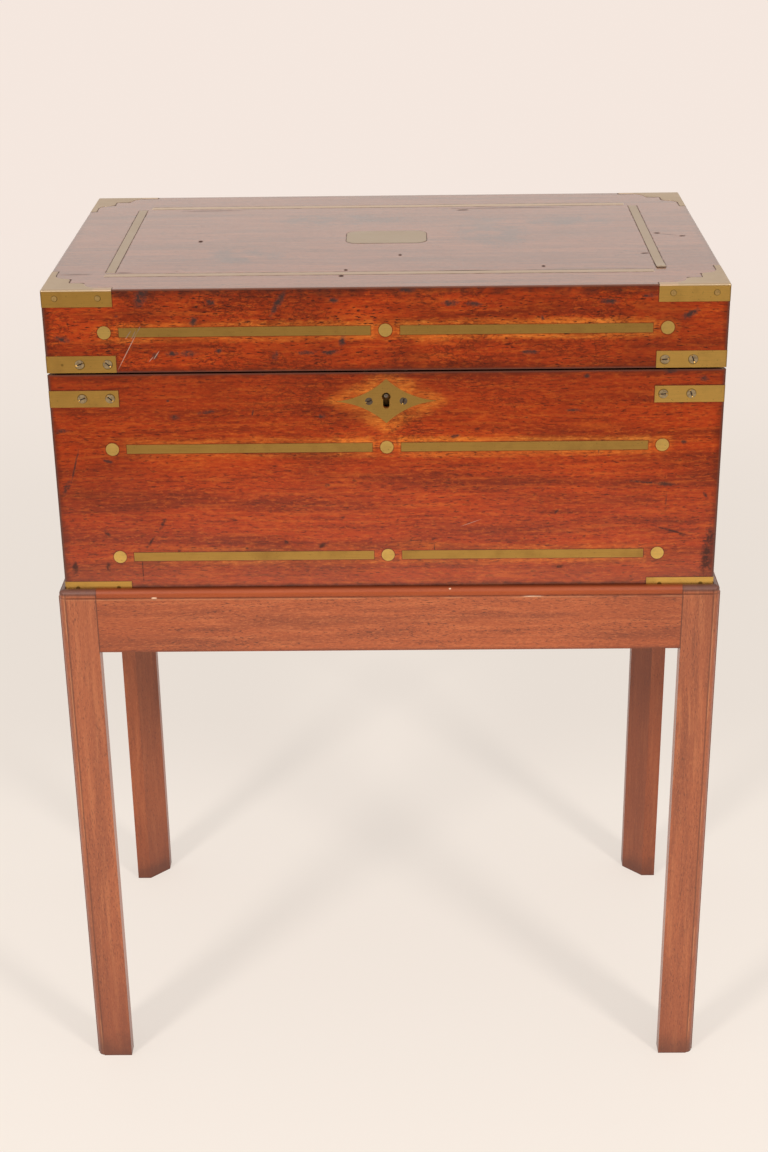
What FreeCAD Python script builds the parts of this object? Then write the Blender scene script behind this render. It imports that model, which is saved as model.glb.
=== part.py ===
import FreeCAD, Part
import math
import os
import re
import Sketcher

# A brass-bound writing slope that stands in the rebate of an open four-legged stand.
# Millimetres. X runs to the right, Y to the back, Z up. The origin is on the floor, under the middle.
# The box splits along a slope: the shut line falls from the lock at the front to the hinges at the back.

SIZES = {
    # Box
    "box_width": 508,
    "box_depth": 302.6,
    "box_height": 247.5,
    "front_split": 183,
    "shut_gap": 1.4,
    "wall": 13,
    "bottom_thick": 9,
    "top_thick": 11,
    "edge_round": 1.2,
    # Stand
    "seat_height": 438.3,
    "lip_height": 7.3,
    "lip_gap": 0.6,
    "stand_overhang": 5.9,
    "leg_width": 30,
    "leg_chamfer": 17.5,
    "rail_drop": 46,
    "rail_thick": 22,
    "bead_step": 0.7,
    "bead_radius": 4.4,
    "bead_height": 6.8,
    "corner_bead": 6,
    "tenon_inset": 8,
    "tenon_thick": 8,
    "tenon_shoulder": 8,
    "tenon_clear": 1,
    # Brass let into the outside
    "brass_thick": 1.2,
    "brass_proud": 0.15,
    "strap_reach": 52.5,
    "strap_height": 12.8,
    "strap_below_rim": 12.4,
    "flange_height": 13.3,
    "bracket_tip": 5.5,
    "bracket_neck": 40,
    "bracket_shoulder": 31.5,
    "bracket_waist": 13.5,
    "bracket_lobe": 27,
    "bracket_width": 18.3,
    "bracket_corner": 2,
    "bracket_sweep": 9.5,
    "bracket_scallop": 5.5,
    "strip_height": 7,
    "strip_start": 11,
    "strip_end": 198,
    "disc_radius": 5,
    "disc_spread": 209,
    "lid_row_drop": 0.85,
    "upper_row": 122.7,
    "lower_row": 33.7,
    "top_strip_width": 7,
    "side_strip_spread": 208.5,
    "side_strip_start": 48,
    "side_strip_end": 253,
    "front_strip_inset": 40,
    "back_strip_inset": 260,
    "cross_strip_half": 202,
    "plate_length": 64,
    "plate_width": 40,
    "plate_corner": 9,
    # Screws and pins
    "strap_screw_head": 3.4,
    "strap_screw_outer": 25,
    "strap_screw_inner": 46,
    "screw_head_depth": 1.1,
    "screw_shank": 1.5,
    "screw_length": 9.5,
    "screw_slot": 0.9,
    "screw_slot_depth": 0.7,
    "bracket_pin": 2,
    "bracket_pin_length": 8,
    "bracket_pin_outer": 10,
    "bracket_pin_inner": 42,
    # Main hinges
    "hinge_length": 60,
    "hinge_depth": 11,
    "hinge_leaf": 1.6,
    "hinge_knuckle": 3,
    "hinge_pin": 1.5,
    "hinge_gap": 0.2,
    "hinge_out": 0.8,
    "hinge_spread": 150,
    "hinge_screw_head": 2.3,
    "hinge_screw_pitch": 22,
    "hinge_screw_row": 6.6,
    "knuckle_clear": 0.4,
    "knuckle_play": 0.2,
    "pin_play": 0.05,
    # Lock
    "lock_width": 72,
    "lock_height": 44,
    "lock_depth": 10,
    "lock_wall": 1,
    "lock_roof": 2,
    "keyhole_height": 162.9,
    "keyhole_radius": 3.3,
    "keyhole_slot": 4.8,
    "keyhole_drop": 9.2,
    "drill_pin": 1.5,
    "drill_pin_inset": 2,
    "escutcheon_height": 159.5,
    "escutcheon_half_width": 38.5,
    "escutcheon_half_height": 17.5,
    "escutcheon_sweep": 62,
    "escutcheon_screw_spread": 13,
    "escutcheon_screw_head": 2.9,
    "escutcheon_screw_length": 2.9,
    "link_length": 64,
    "link_width": 7,
    "link_thick": 1.6,
    "hook_spread": 15,
    "hook_thick": 3,
    "hook_width": 5.6,
    "hook_reach": 10,
    "hook_eye_width": 3.8,
    "hook_eye_height": 4.6,
    "hook_eye_depth": 5.8,
    "hook_clear": 0.5,
    "bolt_finger": 1.5,
    "bolt_finger_length": 11,
    "bolt_post": 4,
    "bolt_bar": 4,
    "bolt_bar_drop": 5.5,
    "bolt_start": 0.8,
    "bolt_play": 0.3,
    "talon_width": 8,
    "talon_depth": 1.5,
    "spring_thick": 0.6,
    "spring_width": 4,
    "spring_length": 24,
    # Wells and pen tray
    "well_depth": 50,
    "well_width": 50,
    "well_height": 116,
    "well_floor": 6,
    "partition": 7,
    "divider": 6,
    "tray_height": 20,
    "tray_drop": 3,
    "tray_play": 0.4,
    "tray_cove": 24,
    "tray_cove_depth": 14,
    "tray_end": 9,
    "tray_block": 14,
    "bottle_size": 46,
    "bottle_height": 38,
    "bottle_wall": 4,
    "neck_radius": 13,
    "neck_height": 6,
    "neck_wall": 4,
    "cap_radius": 17,
    "cap_height": 9,
    "cap_play": 0.2,
    # Writing flaps
    "flap_thick": 8,
    "flap_drop": 2,
    "flap_joint": 0.8,
    "flap_side_gap": 1,
    "flap_rest": 0.2,
    "flap_rail": 14,
    "flap_rail_thick": 12,
    "flap_border": 20,
    "skiver": 0.9,
    "ledge_width": 8,
    "ledge_thick": 8,
    "flap_hinge_length": 36,
    "flap_hinge_depth": 6.5,
    "flap_hinge_leaf": 0.8,
    "flap_hinge_knuckle": 1.6,
    "flap_hinge_pin": 0.8,
    "flap_hinge_gap": 0.3,
    "flap_hinge_spread": 120,
}

doc = FreeCAD.newDocument("writing_slope")
sheet = doc.addObject("Spreadsheet::Sheet", "Sizes")
for row, (alias, value) in enumerate(SIZES.items(), start=1):
    sheet.set(f"A{row}", alias)
    sheet.set(f"B{row}", str(value))
    sheet.setAlias(f"B{row}", alias)
doc.recompute()

nodes = {}


# Formulas: plain text in the names of the sheet's cells

def scoped(formula):
    """Give each size in a formula its sheet's name."""
    def full_name(word):
        return f"Sizes.{word[0]}" if word[0] in SIZES else word[0]

    return re.sub(r"[a-z_]+", full_name, str(formula))


def worth(formula):
    return float(sheet.evalExpression(scoped(formula)))


def rotation(axis, angle):
    return f"create(<<rotation>>; create(<<vector>>; {axis}); {angle})"


def placement(x="0", y="0", z="0", turn=None):
    spot = f"create(<<vector>>; {x}; {y}; {z})"
    return f"create(<<placement>>; {spot}; {turn or rotation('0; 0; 1', 0)})"


HALF_WIDTH = "(box_width / 2)"
HALF_DEPTH = "(box_depth / 2)"
INSIDE_WIDTH = "(box_width - 2 * wall)"
BOX_TOP = "(seat_height + box_height)"
LIP_TOP = "(seat_height + lip_height)"
RAIL_BOTTOM = "(seat_height - rail_drop)"
STAND_HALF_WIDTH = "(box_width / 2 + stand_overhang)"
STAND_HALF_DEPTH = "(box_depth / 2 + stand_overhang)"
TENON_LENGTH = "(leg_width - tenon_inset - tenon_thick - tenon_clear)"

# The slope frame lies in the shut line: X along the hinge line, Y down to the back, Z square to both
RIM = "(shut_gap / 2)"
PIVOT_HEIGHT = "(seat_height + box_height / 2)"
SLOPE = "atan((front_split - box_height / 2) / box_depth)"
SLOPE_FRAME = placement("0", HALF_DEPTH, PIVOT_HEIGHT, rotation("1; 0; 0", f"-{SLOPE}"))


def slope_z(y, rise):
    """Height, at depth y, of the plane that lies rise above the middle of the shut line."""
    return f"({PIVOT_HEIGHT} + ({HALF_DEPTH} - ({y})) * tan({SLOPE}) + ({rise}) / cos({SLOPE}))"


def slope_p(y, rise):
    """Distance up the slope from the hinge line, of the point at depth y on that plane."""
    return f"(({HALF_DEPTH} - ({y}) + ({rise}) * sin({SLOPE})) / cos({SLOPE}))"


TURN_X_TO_FRONT = rotation("1; 0; 0", 90)
TURN_X_TO_BACK = rotation("1; 0; 0", -90)
TURN_Y_TO_RIGHT = rotation("0; 1; 0", 90)
TURN_Y_TO_LEFT = rotation("0; 1; 0", -90)
FACE_TURNS = {
    "front": TURN_X_TO_FRONT,
    "back": TURN_X_TO_BACK,
    "right": TURN_Y_TO_RIGHT,
    "left": TURN_Y_TO_LEFT,
}


# Building blocks

def add(kind, name, bindings=None, spot=None):
    """Add one object, with its sizes and place bound to the sheet."""
    piece = doc.addObject(kind, name)
    for prop, formula in (bindings or {}).items():
        piece.setExpression(prop, scoped(formula))
    if spot:
        piece.setExpression("Placement", scoped(spot))
    return piece


def within(frame, spot):
    return f"{frame} * {spot}" if frame else spot


def box(name, corner, extent, frame=None):
    sides = dict(zip(("Length", "Width", "Height"), extent))
    return add("Part::Box", name, sides, within(frame, placement(*corner)))


def slope_box(name, x, p, rise, extent):
    """A box square to the slope: p is its end nearest the hinge line, measured up the slope."""
    return box(name, (x, f"-({p}) - ({extent[1]})", rise), extent, SLOPE_FRAME)


def rod(name, start, radius, length, turn=None, frame=None):
    """A round bar from its start point, along Z or along the direction that turn gives."""
    spot = within(frame, placement(*start, turn))
    return add("Part::Cylinder", name, {"Radius": radius, "Height": length}, spot)


def wedge(name, long, thick, tall, inset_long, inset_tall, spot):
    """A board whose inner face is smaller than its outer face, for mitred edges."""
    bounds = {
        "Xmin": 0, "Xmax": long, "X2min": inset_long, "X2max": f"{long} - {inset_long}",
        "Ymin": 0, "Ymax": thick,
        "Zmin": 0, "Zmax": tall, "Z2min": inset_tall, "Z2max": f"{tall} - {inset_tall}",
    }
    return add("Part::Wedge", name, bounds, spot)


def fuse(name, *pieces):
    whole = doc.addObject("Part::MultiFuse", name)
    whole.Shapes = list(pieces)
    whole.Refine = True
    return whole


def common(name, *pieces):
    shared = doc.addObject("Part::MultiCommon", name)
    shared.Shapes = list(pieces)
    return shared


def cut(name, base, *tools):
    """Take the tools out of the base, one after the other."""
    for step, tool in enumerate(tools, start=1):
        last = doc.addObject("Part::Cut", name if step == len(tools) else f"{name}_cut_{step}")
        last.Base = base
        last.Tool = tool
        base = last
    return base


def group(name, pieces):
    pack = doc.addObject("Part::Compound", name)
    pack.Links = list(pieces)
    return pack


def mirror(name, source, normal):
    twin = doc.addObject("Part::Mirroring", name)
    twin.Source = source
    twin.Normal = normal
    return twin


def node(name, piece):
    """Name a finished sub-part."""
    piece.Label = name
    nodes[name] = piece
    return piece


ACROSS = FreeCAD.Vector(1, 0, 0)
ALONG = FreeCAD.Vector(0, 1, 0)
CORNERS = {
    "front_left": ("-1", "-1"),
    "front_right": ("1", "-1"),
    "back_left": ("-1", "1"),
    "back_right": ("1", "1"),
}


def four_corners(name, front_left):
    """The front left piece and its three mirror images, by corner."""
    front_right = mirror(f"{name}_front_right", front_left, ACROSS)
    back_left = mirror(f"{name}_back_left", front_left, ALONG)
    back_right = mirror(f"{name}_back_right", front_right, ALONG)
    return dict(zip(CORNERS, (front_left, front_right, back_left, back_right)))


# Outlines: corners run anticlockwise. A third value is the radius of the arc to the next corner,
# which bulges outwards, or inwards where the radius starts with a minus sign.

def bulge_point(start, end, radius):
    """Middle of the arc from start to end."""
    chord = end - start
    side = FreeCAD.Vector(-chord.y, chord.x, 0).normalize()
    half = chord.Length / 2
    sagitta = abs(radius) - math.sqrt(max(radius * radius - half * half, 0))
    return (start + end) * 0.5 - side * math.copysign(sagitta, radius)


def outlined(name, plane, corners, depth, spot):
    """A body padded from a closed outline on one of its origin planes."""
    body = add("PartDesign::Body", name, spot=spot)
    sketch = body.newObject("Sketcher::SketchObject", f"{name}_outline")
    base = next(feature for feature in body.Origin.OriginFeatures if feature.Role == plane)
    sketch.AttachmentSupport = [(base, "")]
    sketch.MapMode = "FlatFace"
    points = [FreeCAD.Vector(worth(corner[0]), worth(corner[1]), 0) for corner in corners]
    followers = points[1:] + points[:1]
    for corner, start, end in zip(corners, points, followers):
        if len(corner) == 3:
            middle = bulge_point(start, end, worth(corner[2]))
            sketch.addGeometry(Part.Arc(start, middle, end))
        else:
            sketch.addGeometry(Part.LineSegment(start, end))
    ends = []
    for index, start in enumerate(points):
        nearest = min((1, 2), key=lambda spot: (sketch.getPoint(index, spot) - start).Length)
        ends.append((nearest, 3 - nearest))
    for index, corner in enumerate(corners):
        first = ends[index][0]
        for kind, formula in zip(("DistanceX", "DistanceY"), corner):
            number = sketch.addConstraint(Sketcher.Constraint(kind, index, first, worth(formula)))
            sketch.setExpression(f"Constraints[{number}]", scoped(formula))
        before = index - 1 if index else len(corners) - 1
        sketch.addConstraint(Sketcher.Constraint("Coincident", before, ends[before][1], index, first))
        if len(corner) == 3:
            radius = Sketcher.Constraint("Radius", index, abs(worth(corner[2])))
            number = sketch.addConstraint(radius)
            sketch.setExpression(f"Constraints[{number}]", scoped(f"abs({corner[2]})"))
    pad = body.newObject("PartDesign::Pad", f"{name}_pad")
    pad.Profile = sketch
    pad.setExpression("Length", scoped(depth))
    return body


def rounded_block(name, corner, extent, radius):
    """A block whose edges are all rounded."""
    width, depth, height = extent
    rectangle = [("0", "0"), (width, "0"), (width, depth), ("0", depth)]
    body = outlined(name, "XY_Plane", rectangle, height, placement(*corner))
    pad = body.Tip
    fillet = body.newObject("PartDesign::Fillet", f"{name}_edges")
    fillet.Base = (pad, [])
    fillet.UseAllEdges = True
    fillet.setExpression("Radius", scoped(radius))
    return body


# Stand: four square legs, tenoned rails, a beaded top edge and a rebate that takes the box

def edge_profile(inner, foot):
    """Section of a stand member, from its outer face inwards, with the bead along its top edge."""
    return [
        ("0", foot),
        (inner, foot),
        (inner, LIP_TOP),
        ("bead_step + bead_radius", LIP_TOP, "bead_radius"),
        ("bead_step", f"{LIP_TOP} - bead_radius"),
        ("bead_step", f"{LIP_TOP} - bead_height"),
        ("0", f"{LIP_TOP} - bead_height"),
    ]


def make_stand():
    well = box(
        "box_well",
        (f"-{HALF_WIDTH} - lip_gap", f"-{HALF_DEPTH} - lip_gap", "seat_height"),
        ("box_width + 2 * lip_gap", "box_depth + 2 * lip_gap", "2 * lip_height"),
    )
    front_half = f"({STAND_HALF_WIDTH} - leg_width)"
    side_half = f"({STAND_HALF_DEPTH} - leg_width)"
    section = edge_profile("rail_thick", RAIL_BOTTOM)
    tenon_foot = f"{RAIL_BOTTOM} + tenon_shoulder"
    tenon_rise = "rail_drop - 2 * tenon_shoulder"

    front_bar = outlined("front_bar", "YZ_Plane", section, f"2 * {front_half}",
                         placement(f"-{front_half}", f"-{STAND_HALF_DEPTH}"))
    front_tenon = box(
        "front_tenon",
        (f"-{front_half} - {TENON_LENGTH}", f"-{STAND_HALF_DEPTH} + tenon_inset", tenon_foot),
        (f"2 * ({front_half} + {TENON_LENGTH})", "tenon_thick", tenon_rise),
    )
    rail_front = cut("rail_front", fuse("front_rail_blank", front_bar, front_tenon), well)

    side_bar = outlined("side_bar", "XZ_Plane", section, f"2 * {side_half}",
                        placement(f"-{STAND_HALF_WIDTH}", side_half))
    side_tenon = box(
        "side_tenon",
        (f"-{STAND_HALF_WIDTH} + tenon_inset", f"-{side_half} - {TENON_LENGTH}", tenon_foot),
        ("tenon_thick", f"2 * ({side_half} + {TENON_LENGTH})", tenon_rise),
    )
    rail_left = cut("rail_left", fuse("side_rail_blank", side_bar, side_tenon), well)

    foot = (f"-{STAND_HALF_WIDTH}", f"-{STAND_HALF_DEPTH}")
    plan = [
        ("corner_bead", "0"),
        ("leg_width", "0"),
        ("leg_width", "leg_width"),
        ("0", "leg_width"),
        ("0", "corner_bead"),
        ("bead_step", "corner_bead", "corner_bead - bead_step"),
        ("corner_bead", "bead_step"),
    ]
    leg_section = edge_profile("leg_width", "0")
    post = outlined("leg_plan", "XY_Plane", plan, LIP_TOP, placement(*foot))
    front_view = outlined("leg_front_bead", "YZ_Plane", leg_section, "leg_width", placement(*foot))
    side_view = outlined("leg_side_bead", "XZ_Plane", leg_section, "leg_width",
                         placement(foot[0], f"{foot[1]} + leg_width"))
    bevel = [
        ("leg_width", "leg_width - leg_chamfer"),
        ("leg_width", "leg_width"),
        ("leg_width - leg_chamfer", "leg_width"),
    ]
    chamfer = outlined("leg_bevel", "XY_Plane", bevel, RAIL_BOTTOM, placement(*foot))
    beaded = common("leg_beaded", post, front_view, side_view)
    leg = cut("leg_front_left", beaded, well, chamfer, rail_front, rail_left)

    for corner, piece in four_corners("leg", leg).items():
        node(f"leg_{corner}", piece)
    node("rail_front", rail_front)
    node("rail_back", mirror("rail_back", rail_front, ALONG))
    node("rail_left", rail_left)
    node("rail_right", mirror("rail_right", rail_left, ACROSS))


# Screws: a countersunk slotted screw stands head up at the origin, and links set it where it is driven

def screw_pattern(name, head, length="screw_length"):
    cone = add("Part::Cone", f"{name}_head",
               {"Radius1": "screw_shank", "Radius2": head, "Height": "screw_head_depth"},
               placement(z="-screw_head_depth"))
    shank = rod(f"{name}_shank", ("0", "0", f"-{length}"), "screw_shank", f"{length} - screw_head_depth")
    blank = fuse(f"{name}_blank", cone, shank)
    slot = box(f"{name}_slot", (f"-2 * {head}", "-screw_slot / 2", "-screw_slot_depth"),
               (f"4 * {head}", "screw_slot", "2 * screw_slot_depth"))
    return blank, cut(f"{name}_pattern", blank, slot)


def drive(name, pattern, places):
    """Set one screw per place, a frame and the slot's angle, and give the plain holes that they need."""
    sets = []
    for kind, source in zip(("hole", "screw"), pattern):
        links = []
        for number, (frame, angle) in enumerate(places, start=1):
            turned = placement(turn=rotation("0; 0; 1", angle))
            link = add("App::Link", f"{name}_{kind}_{number}", spot=within(frame, turned))
            link.LinkedObject = source
            links.append(link)
        sets.append(group(name if kind == "screw" else f"{name}_holes", links))
    holes, screws = sets
    node(name, screws)
    return holes


SLOT_ANGLES = (20, 75, 140, 50, 110, 165, 5, 95)


def strap_screw_places(rise):
    """Two screws in each leg of the four straps whose middle lies rise above the shut line."""
    places = []
    for across, along in CORNERS.values():
        for reach in ("strap_screw_outer", "strap_screw_inner"):
            x_face = f"{across} * ({HALF_WIDTH} - {reach})"
            y_face = f"{along} * ({HALF_DEPTH} + brass_proud)"
            facing = FACE_TURNS["front" if along == "-1" else "back"]
            places.append(placement(x_face, y_face, slope_z(y_face, rise), facing))
            x_side = f"{across} * ({HALF_WIDTH} + brass_proud)"
            y_side = f"{along} * ({HALF_DEPTH} - {reach})"
            facing = FACE_TURNS["left" if across == "-1" else "right"]
            places.append(placement(x_side, y_side, slope_z(y_side, rise), facing))
    return [(spot, SLOT_ANGLES[number % len(SLOT_ANGLES)]) for number, spot in enumerate(places)]


# Brass let into the outside of the box

def make_corner_shells():
    """The brass skin round each upright corner, over the box's full height, by corner, and its outside."""
    outer = rounded_block(
        "brass_skin_outside",
        (f"-{HALF_WIDTH} - brass_proud", f"-{HALF_DEPTH} - brass_proud", "seat_height"),
        ("box_width + 2 * brass_proud", "box_depth + 2 * brass_proud", "box_height + brass_proud"),
        "edge_round + brass_proud",
    )
    inset = "(brass_thick - brass_proud)"
    inner = box(
        "brass_skin_inside",
        (f"-{HALF_WIDTH} + {inset}", f"-{HALF_DEPTH} + {inset}", "seat_height - box_height"),
        (f"box_width - 2 * {inset}", f"box_depth - 2 * {inset}", "3 * box_height"),
    )
    skin = cut("brass_skin", outer, inner)
    block = box(
        "brass_corner_block",
        (f"-{HALF_WIDTH} - brass_proud", f"-{HALF_DEPTH} - brass_proud", "seat_height"),
        ("strap_reach + brass_proud", "strap_reach + brass_proud", "box_height + brass_proud"),
    )
    return four_corners("corner_shell", common("corner_shell_front_left", skin, block)), outer


def make_straps(shells, strap_screws):
    """Corner straps on the lid and the base, and the brackets round the bottom corners."""
    skin = group("corner_shells", shells.values())
    wide = ("-box_width", "-box_depth")
    long_slab = ("2 * box_width", "3 * box_depth", "strap_height")
    lid_slab = slope_box("lid_strap_slab", *wide, RIM, long_slab)
    base_foot = f"-{RIM} - strap_below_rim - strap_height"
    base_slab = slope_box("base_strap_slab", *wide, base_foot, long_slab)
    bottom_slab = box("bottom_strap_slab", (*wide, "seat_height"),
                      ("2 * box_width", "2 * box_depth", "strap_height"))

    lid_holes = drive("lid_strap_screws", strap_screws, strap_screw_places(f"{RIM} + strap_height / 2"))
    base_holes = drive("base_strap_screws", strap_screws,
                       strap_screw_places(f"{base_foot} + strap_height / 2"))
    lid_blanks = common("lid_strap_blanks", skin, lid_slab)
    lid_straps = node("lid_corner_straps", cut("lid_straps", lid_blanks, lid_holes))
    base_blanks = common("base_strap_blanks", skin, base_slab)
    base_straps = node("base_corner_straps", cut("base_straps", base_blanks, base_holes))
    bottom = node("bottom_corner_brackets", common("bottom_brackets", skin, bottom_slab))
    return (lid_straps, lid_holes), (base_straps, base_holes, bottom)


def make_top_brackets(shells, outside):
    """Scalloped plates on the lid's corners, each with two turned-down flanges held by pins."""
    slab = box(
        "flange_slab",
        ("-box_width", "-box_depth", f"{BOX_TOP} + brass_proud - flange_height"),
        ("2 * box_width", "2 * box_depth", "flange_height"),
    )
    flanges = common("bracket_flanges", shells["front_left"], slab)
    reach = "strap_reach + brass_proud"
    inner_end = "bracket_width + bracket_corner"
    scallops = [
        ("0", "0"),
        (reach, "0"),
        (reach, "bracket_tip"),
        ("bracket_neck", "bracket_tip", "-bracket_sweep"),
        ("bracket_shoulder", "bracket_waist", "bracket_scallop"),
        ("bracket_lobe", "bracket_width"),
        (inner_end, "bracket_width", "-bracket_corner"),
        ("bracket_width", inner_end),
        ("bracket_width", "bracket_lobe", "bracket_scallop"),
        ("bracket_waist", "bracket_shoulder", "-bracket_sweep"),
        ("bracket_tip", "bracket_neck"),
        ("bracket_tip", reach),
        ("0", reach),
    ]
    plate = outlined("bracket_plate", "XY_Plane", scallops, "brass_thick",
                     placement(f"-{HALF_WIDTH} - brass_proud", f"-{HALF_DEPTH} - brass_proud",
                               f"{BOX_TOP} + brass_proud - brass_thick"))
    blank = common("bracket_blank", fuse("bracket_square", flanges, plate), outside)
    pin_height = f"{BOX_TOP} + brass_proud - flange_height / 2"
    front_face = f"-{HALF_DEPTH} - brass_proud"
    side_face = f"-{HALF_WIDTH} - brass_proud"
    pins = []
    for reach in ("bracket_pin_outer", "bracket_pin_inner"):
        pins.append(rod(f"front_{reach}", (f"-{HALF_WIDTH} + {reach}", front_face, pin_height),
                        "bracket_pin", "bracket_pin_length", TURN_X_TO_BACK))
        pins.append(rod(f"side_{reach}", (side_face, f"-{HALF_DEPTH} + {reach}", pin_height),
                        "bracket_pin", "bracket_pin_length", TURN_Y_TO_RIGHT))
    corner_pins = group("corner_pins", pins)
    brackets = four_corners("top_bracket", cut("top_bracket_front_left", blank, corner_pins)).values()
    all_pins = four_corners("corner_pins", corner_pins).values()
    return (node("top_corner_brackets", group("top_corner_brackets", brackets)),
            node("bracket_pins", group("bracket_pins", all_pins)))


def front_row(name, height):
    """One row of inlay on the front: two strips between three discs."""
    back = f"-{HALF_DEPTH} + brass_thick - brass_proud"
    face = f"-{HALF_DEPTH} - brass_proud"
    pieces = []
    for side, start in (("left", "-strip_end"), ("right", "strip_start")):
        pieces.append(box(f"{name}_{side}_strip", (start, face, f"{height} - strip_height / 2"),
                          ("strip_end - strip_start", "brass_thick", "strip_height")))
    for number, x in enumerate(("-disc_spread", "0", "disc_spread"), start=1):
        pieces.append(rod(f"{name}_disc_{number}", (x, back, height),
                          "disc_radius", "brass_thick", TURN_X_TO_FRONT))
    return pieces


def make_inlays():
    strap_top = slope_z(f"-{HALF_DEPTH}", f"{RIM} + strap_height")
    flange_foot = f"({BOX_TOP} + brass_proud - flange_height)"
    top_row = front_row("lid_row", f"(({strap_top} + {flange_foot}) / 2 - lid_row_drop)")
    lid_row = node("lid_front_inlays", group("lid_front_inlays", top_row))
    rows = []
    for name in ("upper_row", "lower_row"):
        rows += front_row(name, f"(seat_height + {name})")
    base_rows = node("base_front_inlays", group("base_front_inlays", rows))

    level = f"{BOX_TOP} + brass_proud - brass_thick"
    strips = []
    for side, x in (("left", "-side_strip_spread"), ("right", "side_strip_spread")):
        strips.append(box(f"{side}_top_strip",
                          (f"{x} - top_strip_width / 2", f"-{HALF_DEPTH} + side_strip_start", level),
                          ("top_strip_width", "side_strip_end - side_strip_start", "brass_thick")))
    for side in ("front", "back"):
        near_edge = f"-{HALF_DEPTH} + {side}_strip_inset - top_strip_width / 2"
        strips.append(box(f"{side}_top_strip", ("-cross_strip_half", near_edge, level),
                          ("2 * cross_strip_half", "top_strip_width", "brass_thick")))
    top_strips = node("lid_top_strips", group("lid_top_strips", strips))

    right = "plate_length / 2"
    far = "plate_width / 2"
    corner = "plate_corner"
    rounded = [
        (f"{corner} - {right}", f"-{far}"),
        (f"{right} - {corner}", f"-{far}", corner),
        (right, f"{corner} - {far}"),
        (right, f"{far} - {corner}", corner),
        (f"{right} - {corner}", far),
        (f"{corner} - {right}", far, corner),
        (f"-{right}", f"{far} - {corner}"),
        (f"-{right}", f"{corner} - {far}", corner),
    ]
    plate = outlined("name_plate", "XY_Plane", rounded, "brass_thick", placement(z=level))
    return lid_row, base_rows, (top_strips, node("name_plate", plate))


# Hinges: two leaves that close face to face, with the pin's axis along X at the frame's origin.
# The leaves lie towards -Y of the frame; the lower leaf holds the pin and the upper leaf turns on it.

def hinge_pair(name, frame, size, spread):
    length = f"{size}_length"
    third = f"({length} / 3)"
    knuckle = f"{size}_knuckle"
    clear = f"({knuckle} + knuckle_clear)"
    lower, upper, pins, scoops = [], [], [], []
    for side, sign in (("left", "-1"), ("right", "1")):
        tag = f"{name}_{side}"
        start = f"({sign} * {spread} - {length} / 2)"

        def barrel(part, offset, radius, reach):
            spot = (f"{start} + {offset}", "0", "0")
            return rod(f"{tag}_{part}", spot, radius, reach, TURN_Y_TO_RIGHT, frame)

        def leaf(part, foot):
            extent = (length, f"{size}_depth", f"{size}_leaf")
            return box(f"{tag}_{part}", (start, f"-{size}_depth", foot), extent, frame)

        pin = barrel("pin", "0", f"{size}_pin", length)
        under = leaf("lower_leaf", f"-{size}_gap / 2 - {size}_leaf")
        outer_knuckles = (barrel("first_knuckle", "0", knuckle, third),
                          barrel("last_knuckle", f"2 * {third}", knuckle, third))
        lower.append(cut(f"{tag}_lower", fuse(f"{tag}_lower_blank", under, *outer_knuckles),
                         barrel("middle_room", third, clear, third), pin))
        over = leaf("upper_leaf", f"{size}_gap / 2")
        middle = barrel("middle_knuckle", f"{third} + knuckle_play", knuckle, f"{third} - 2 * knuckle_play")
        upper.append(cut(f"{tag}_upper", fuse(f"{tag}_upper_blank", over, middle),
                         barrel("first_room", "0", clear, third),
                         barrel("last_room", f"2 * {third}", clear, third),
                         barrel("pin_bore", "0", f"{size}_pin + pin_play", length)))
        pins.append(pin)
        scoops.append(barrel("scoop", "-knuckle_clear", clear, f"{length} + 2 * knuckle_clear"))
    return [group(f"{name}_{part}", pieces) for part, pieces in
            (("lower", lower), ("upper", upper), ("pins", pins), ("scoops", scoops))]


def make_main_hinges():
    frame = f"{SLOPE_FRAME} * {placement(y='hinge_out')}"
    lower, upper, pins, scoops = hinge_pair("main_hinge", frame, "hinge", "hinge_spread")
    pattern = screw_pattern("hinge_screw", "hinge_screw_head")
    row = "-hinge_screw_row"
    level = "hinge_gap / 2"
    facing_down = rotation("1; 0; 0", 180)
    base_places, lid_places = [], []
    for side in ("-1", "1"):
        for step, angle in zip(("-1", "0", "1"), SLOT_ANGLES):
            x = f"{side} * hinge_spread + ({step}) * hinge_screw_pitch"
            base_places.append((f"{frame} * {placement(x, row, f'-{level}')}", angle))
            lid_places.append((f"{frame} * {placement(x, row, level, facing_down)}", angle))
    base_holes = drive("base_hinge_screws", pattern, base_places)
    lid_holes = drive("lid_hinge_screws", pattern, lid_places)
    base_leaves = node("base_hinge_leaves", cut("base_hinge_leaves", lower, base_holes))
    lid_leaves = node("lid_hinge_leaves", cut("lid_hinge_leaves", upper, lid_holes))
    return (scoops, base_leaves, base_holes), (scoops, lid_leaves, lid_holes), pins


# Lock: a box lock let into the front, with a sliding bolt that passes through two hooks on the lid

LOCK_FACE = f"(-{HALF_DEPTH} + wall - lock_depth)"
LOCK_MIDDLE = f"({LOCK_FACE} + lock_depth / 2)"
LOCK_FOOT = f"({slope_z(f'-{HALF_DEPTH}', f'-{RIM}')} - lock_height)"
LOCK_ROOF = f"({slope_z(f'-{HALF_DEPTH} + wall', f'-{RIM}')} - lock_roof)"
KEY_HEIGHT = "(seat_height + keyhole_height)"
FINGER_HEIGHT = slope_z(LOCK_MIDDLE, "-hook_eye_depth")
HOOK_P = slope_p(LOCK_MIDDLE, "-hook_eye_depth")
BAR_TOP = f"({FINGER_HEIGHT} - bolt_bar_drop)"
BAR_FOOT = f"({BAR_TOP} - bolt_bar)"


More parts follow.
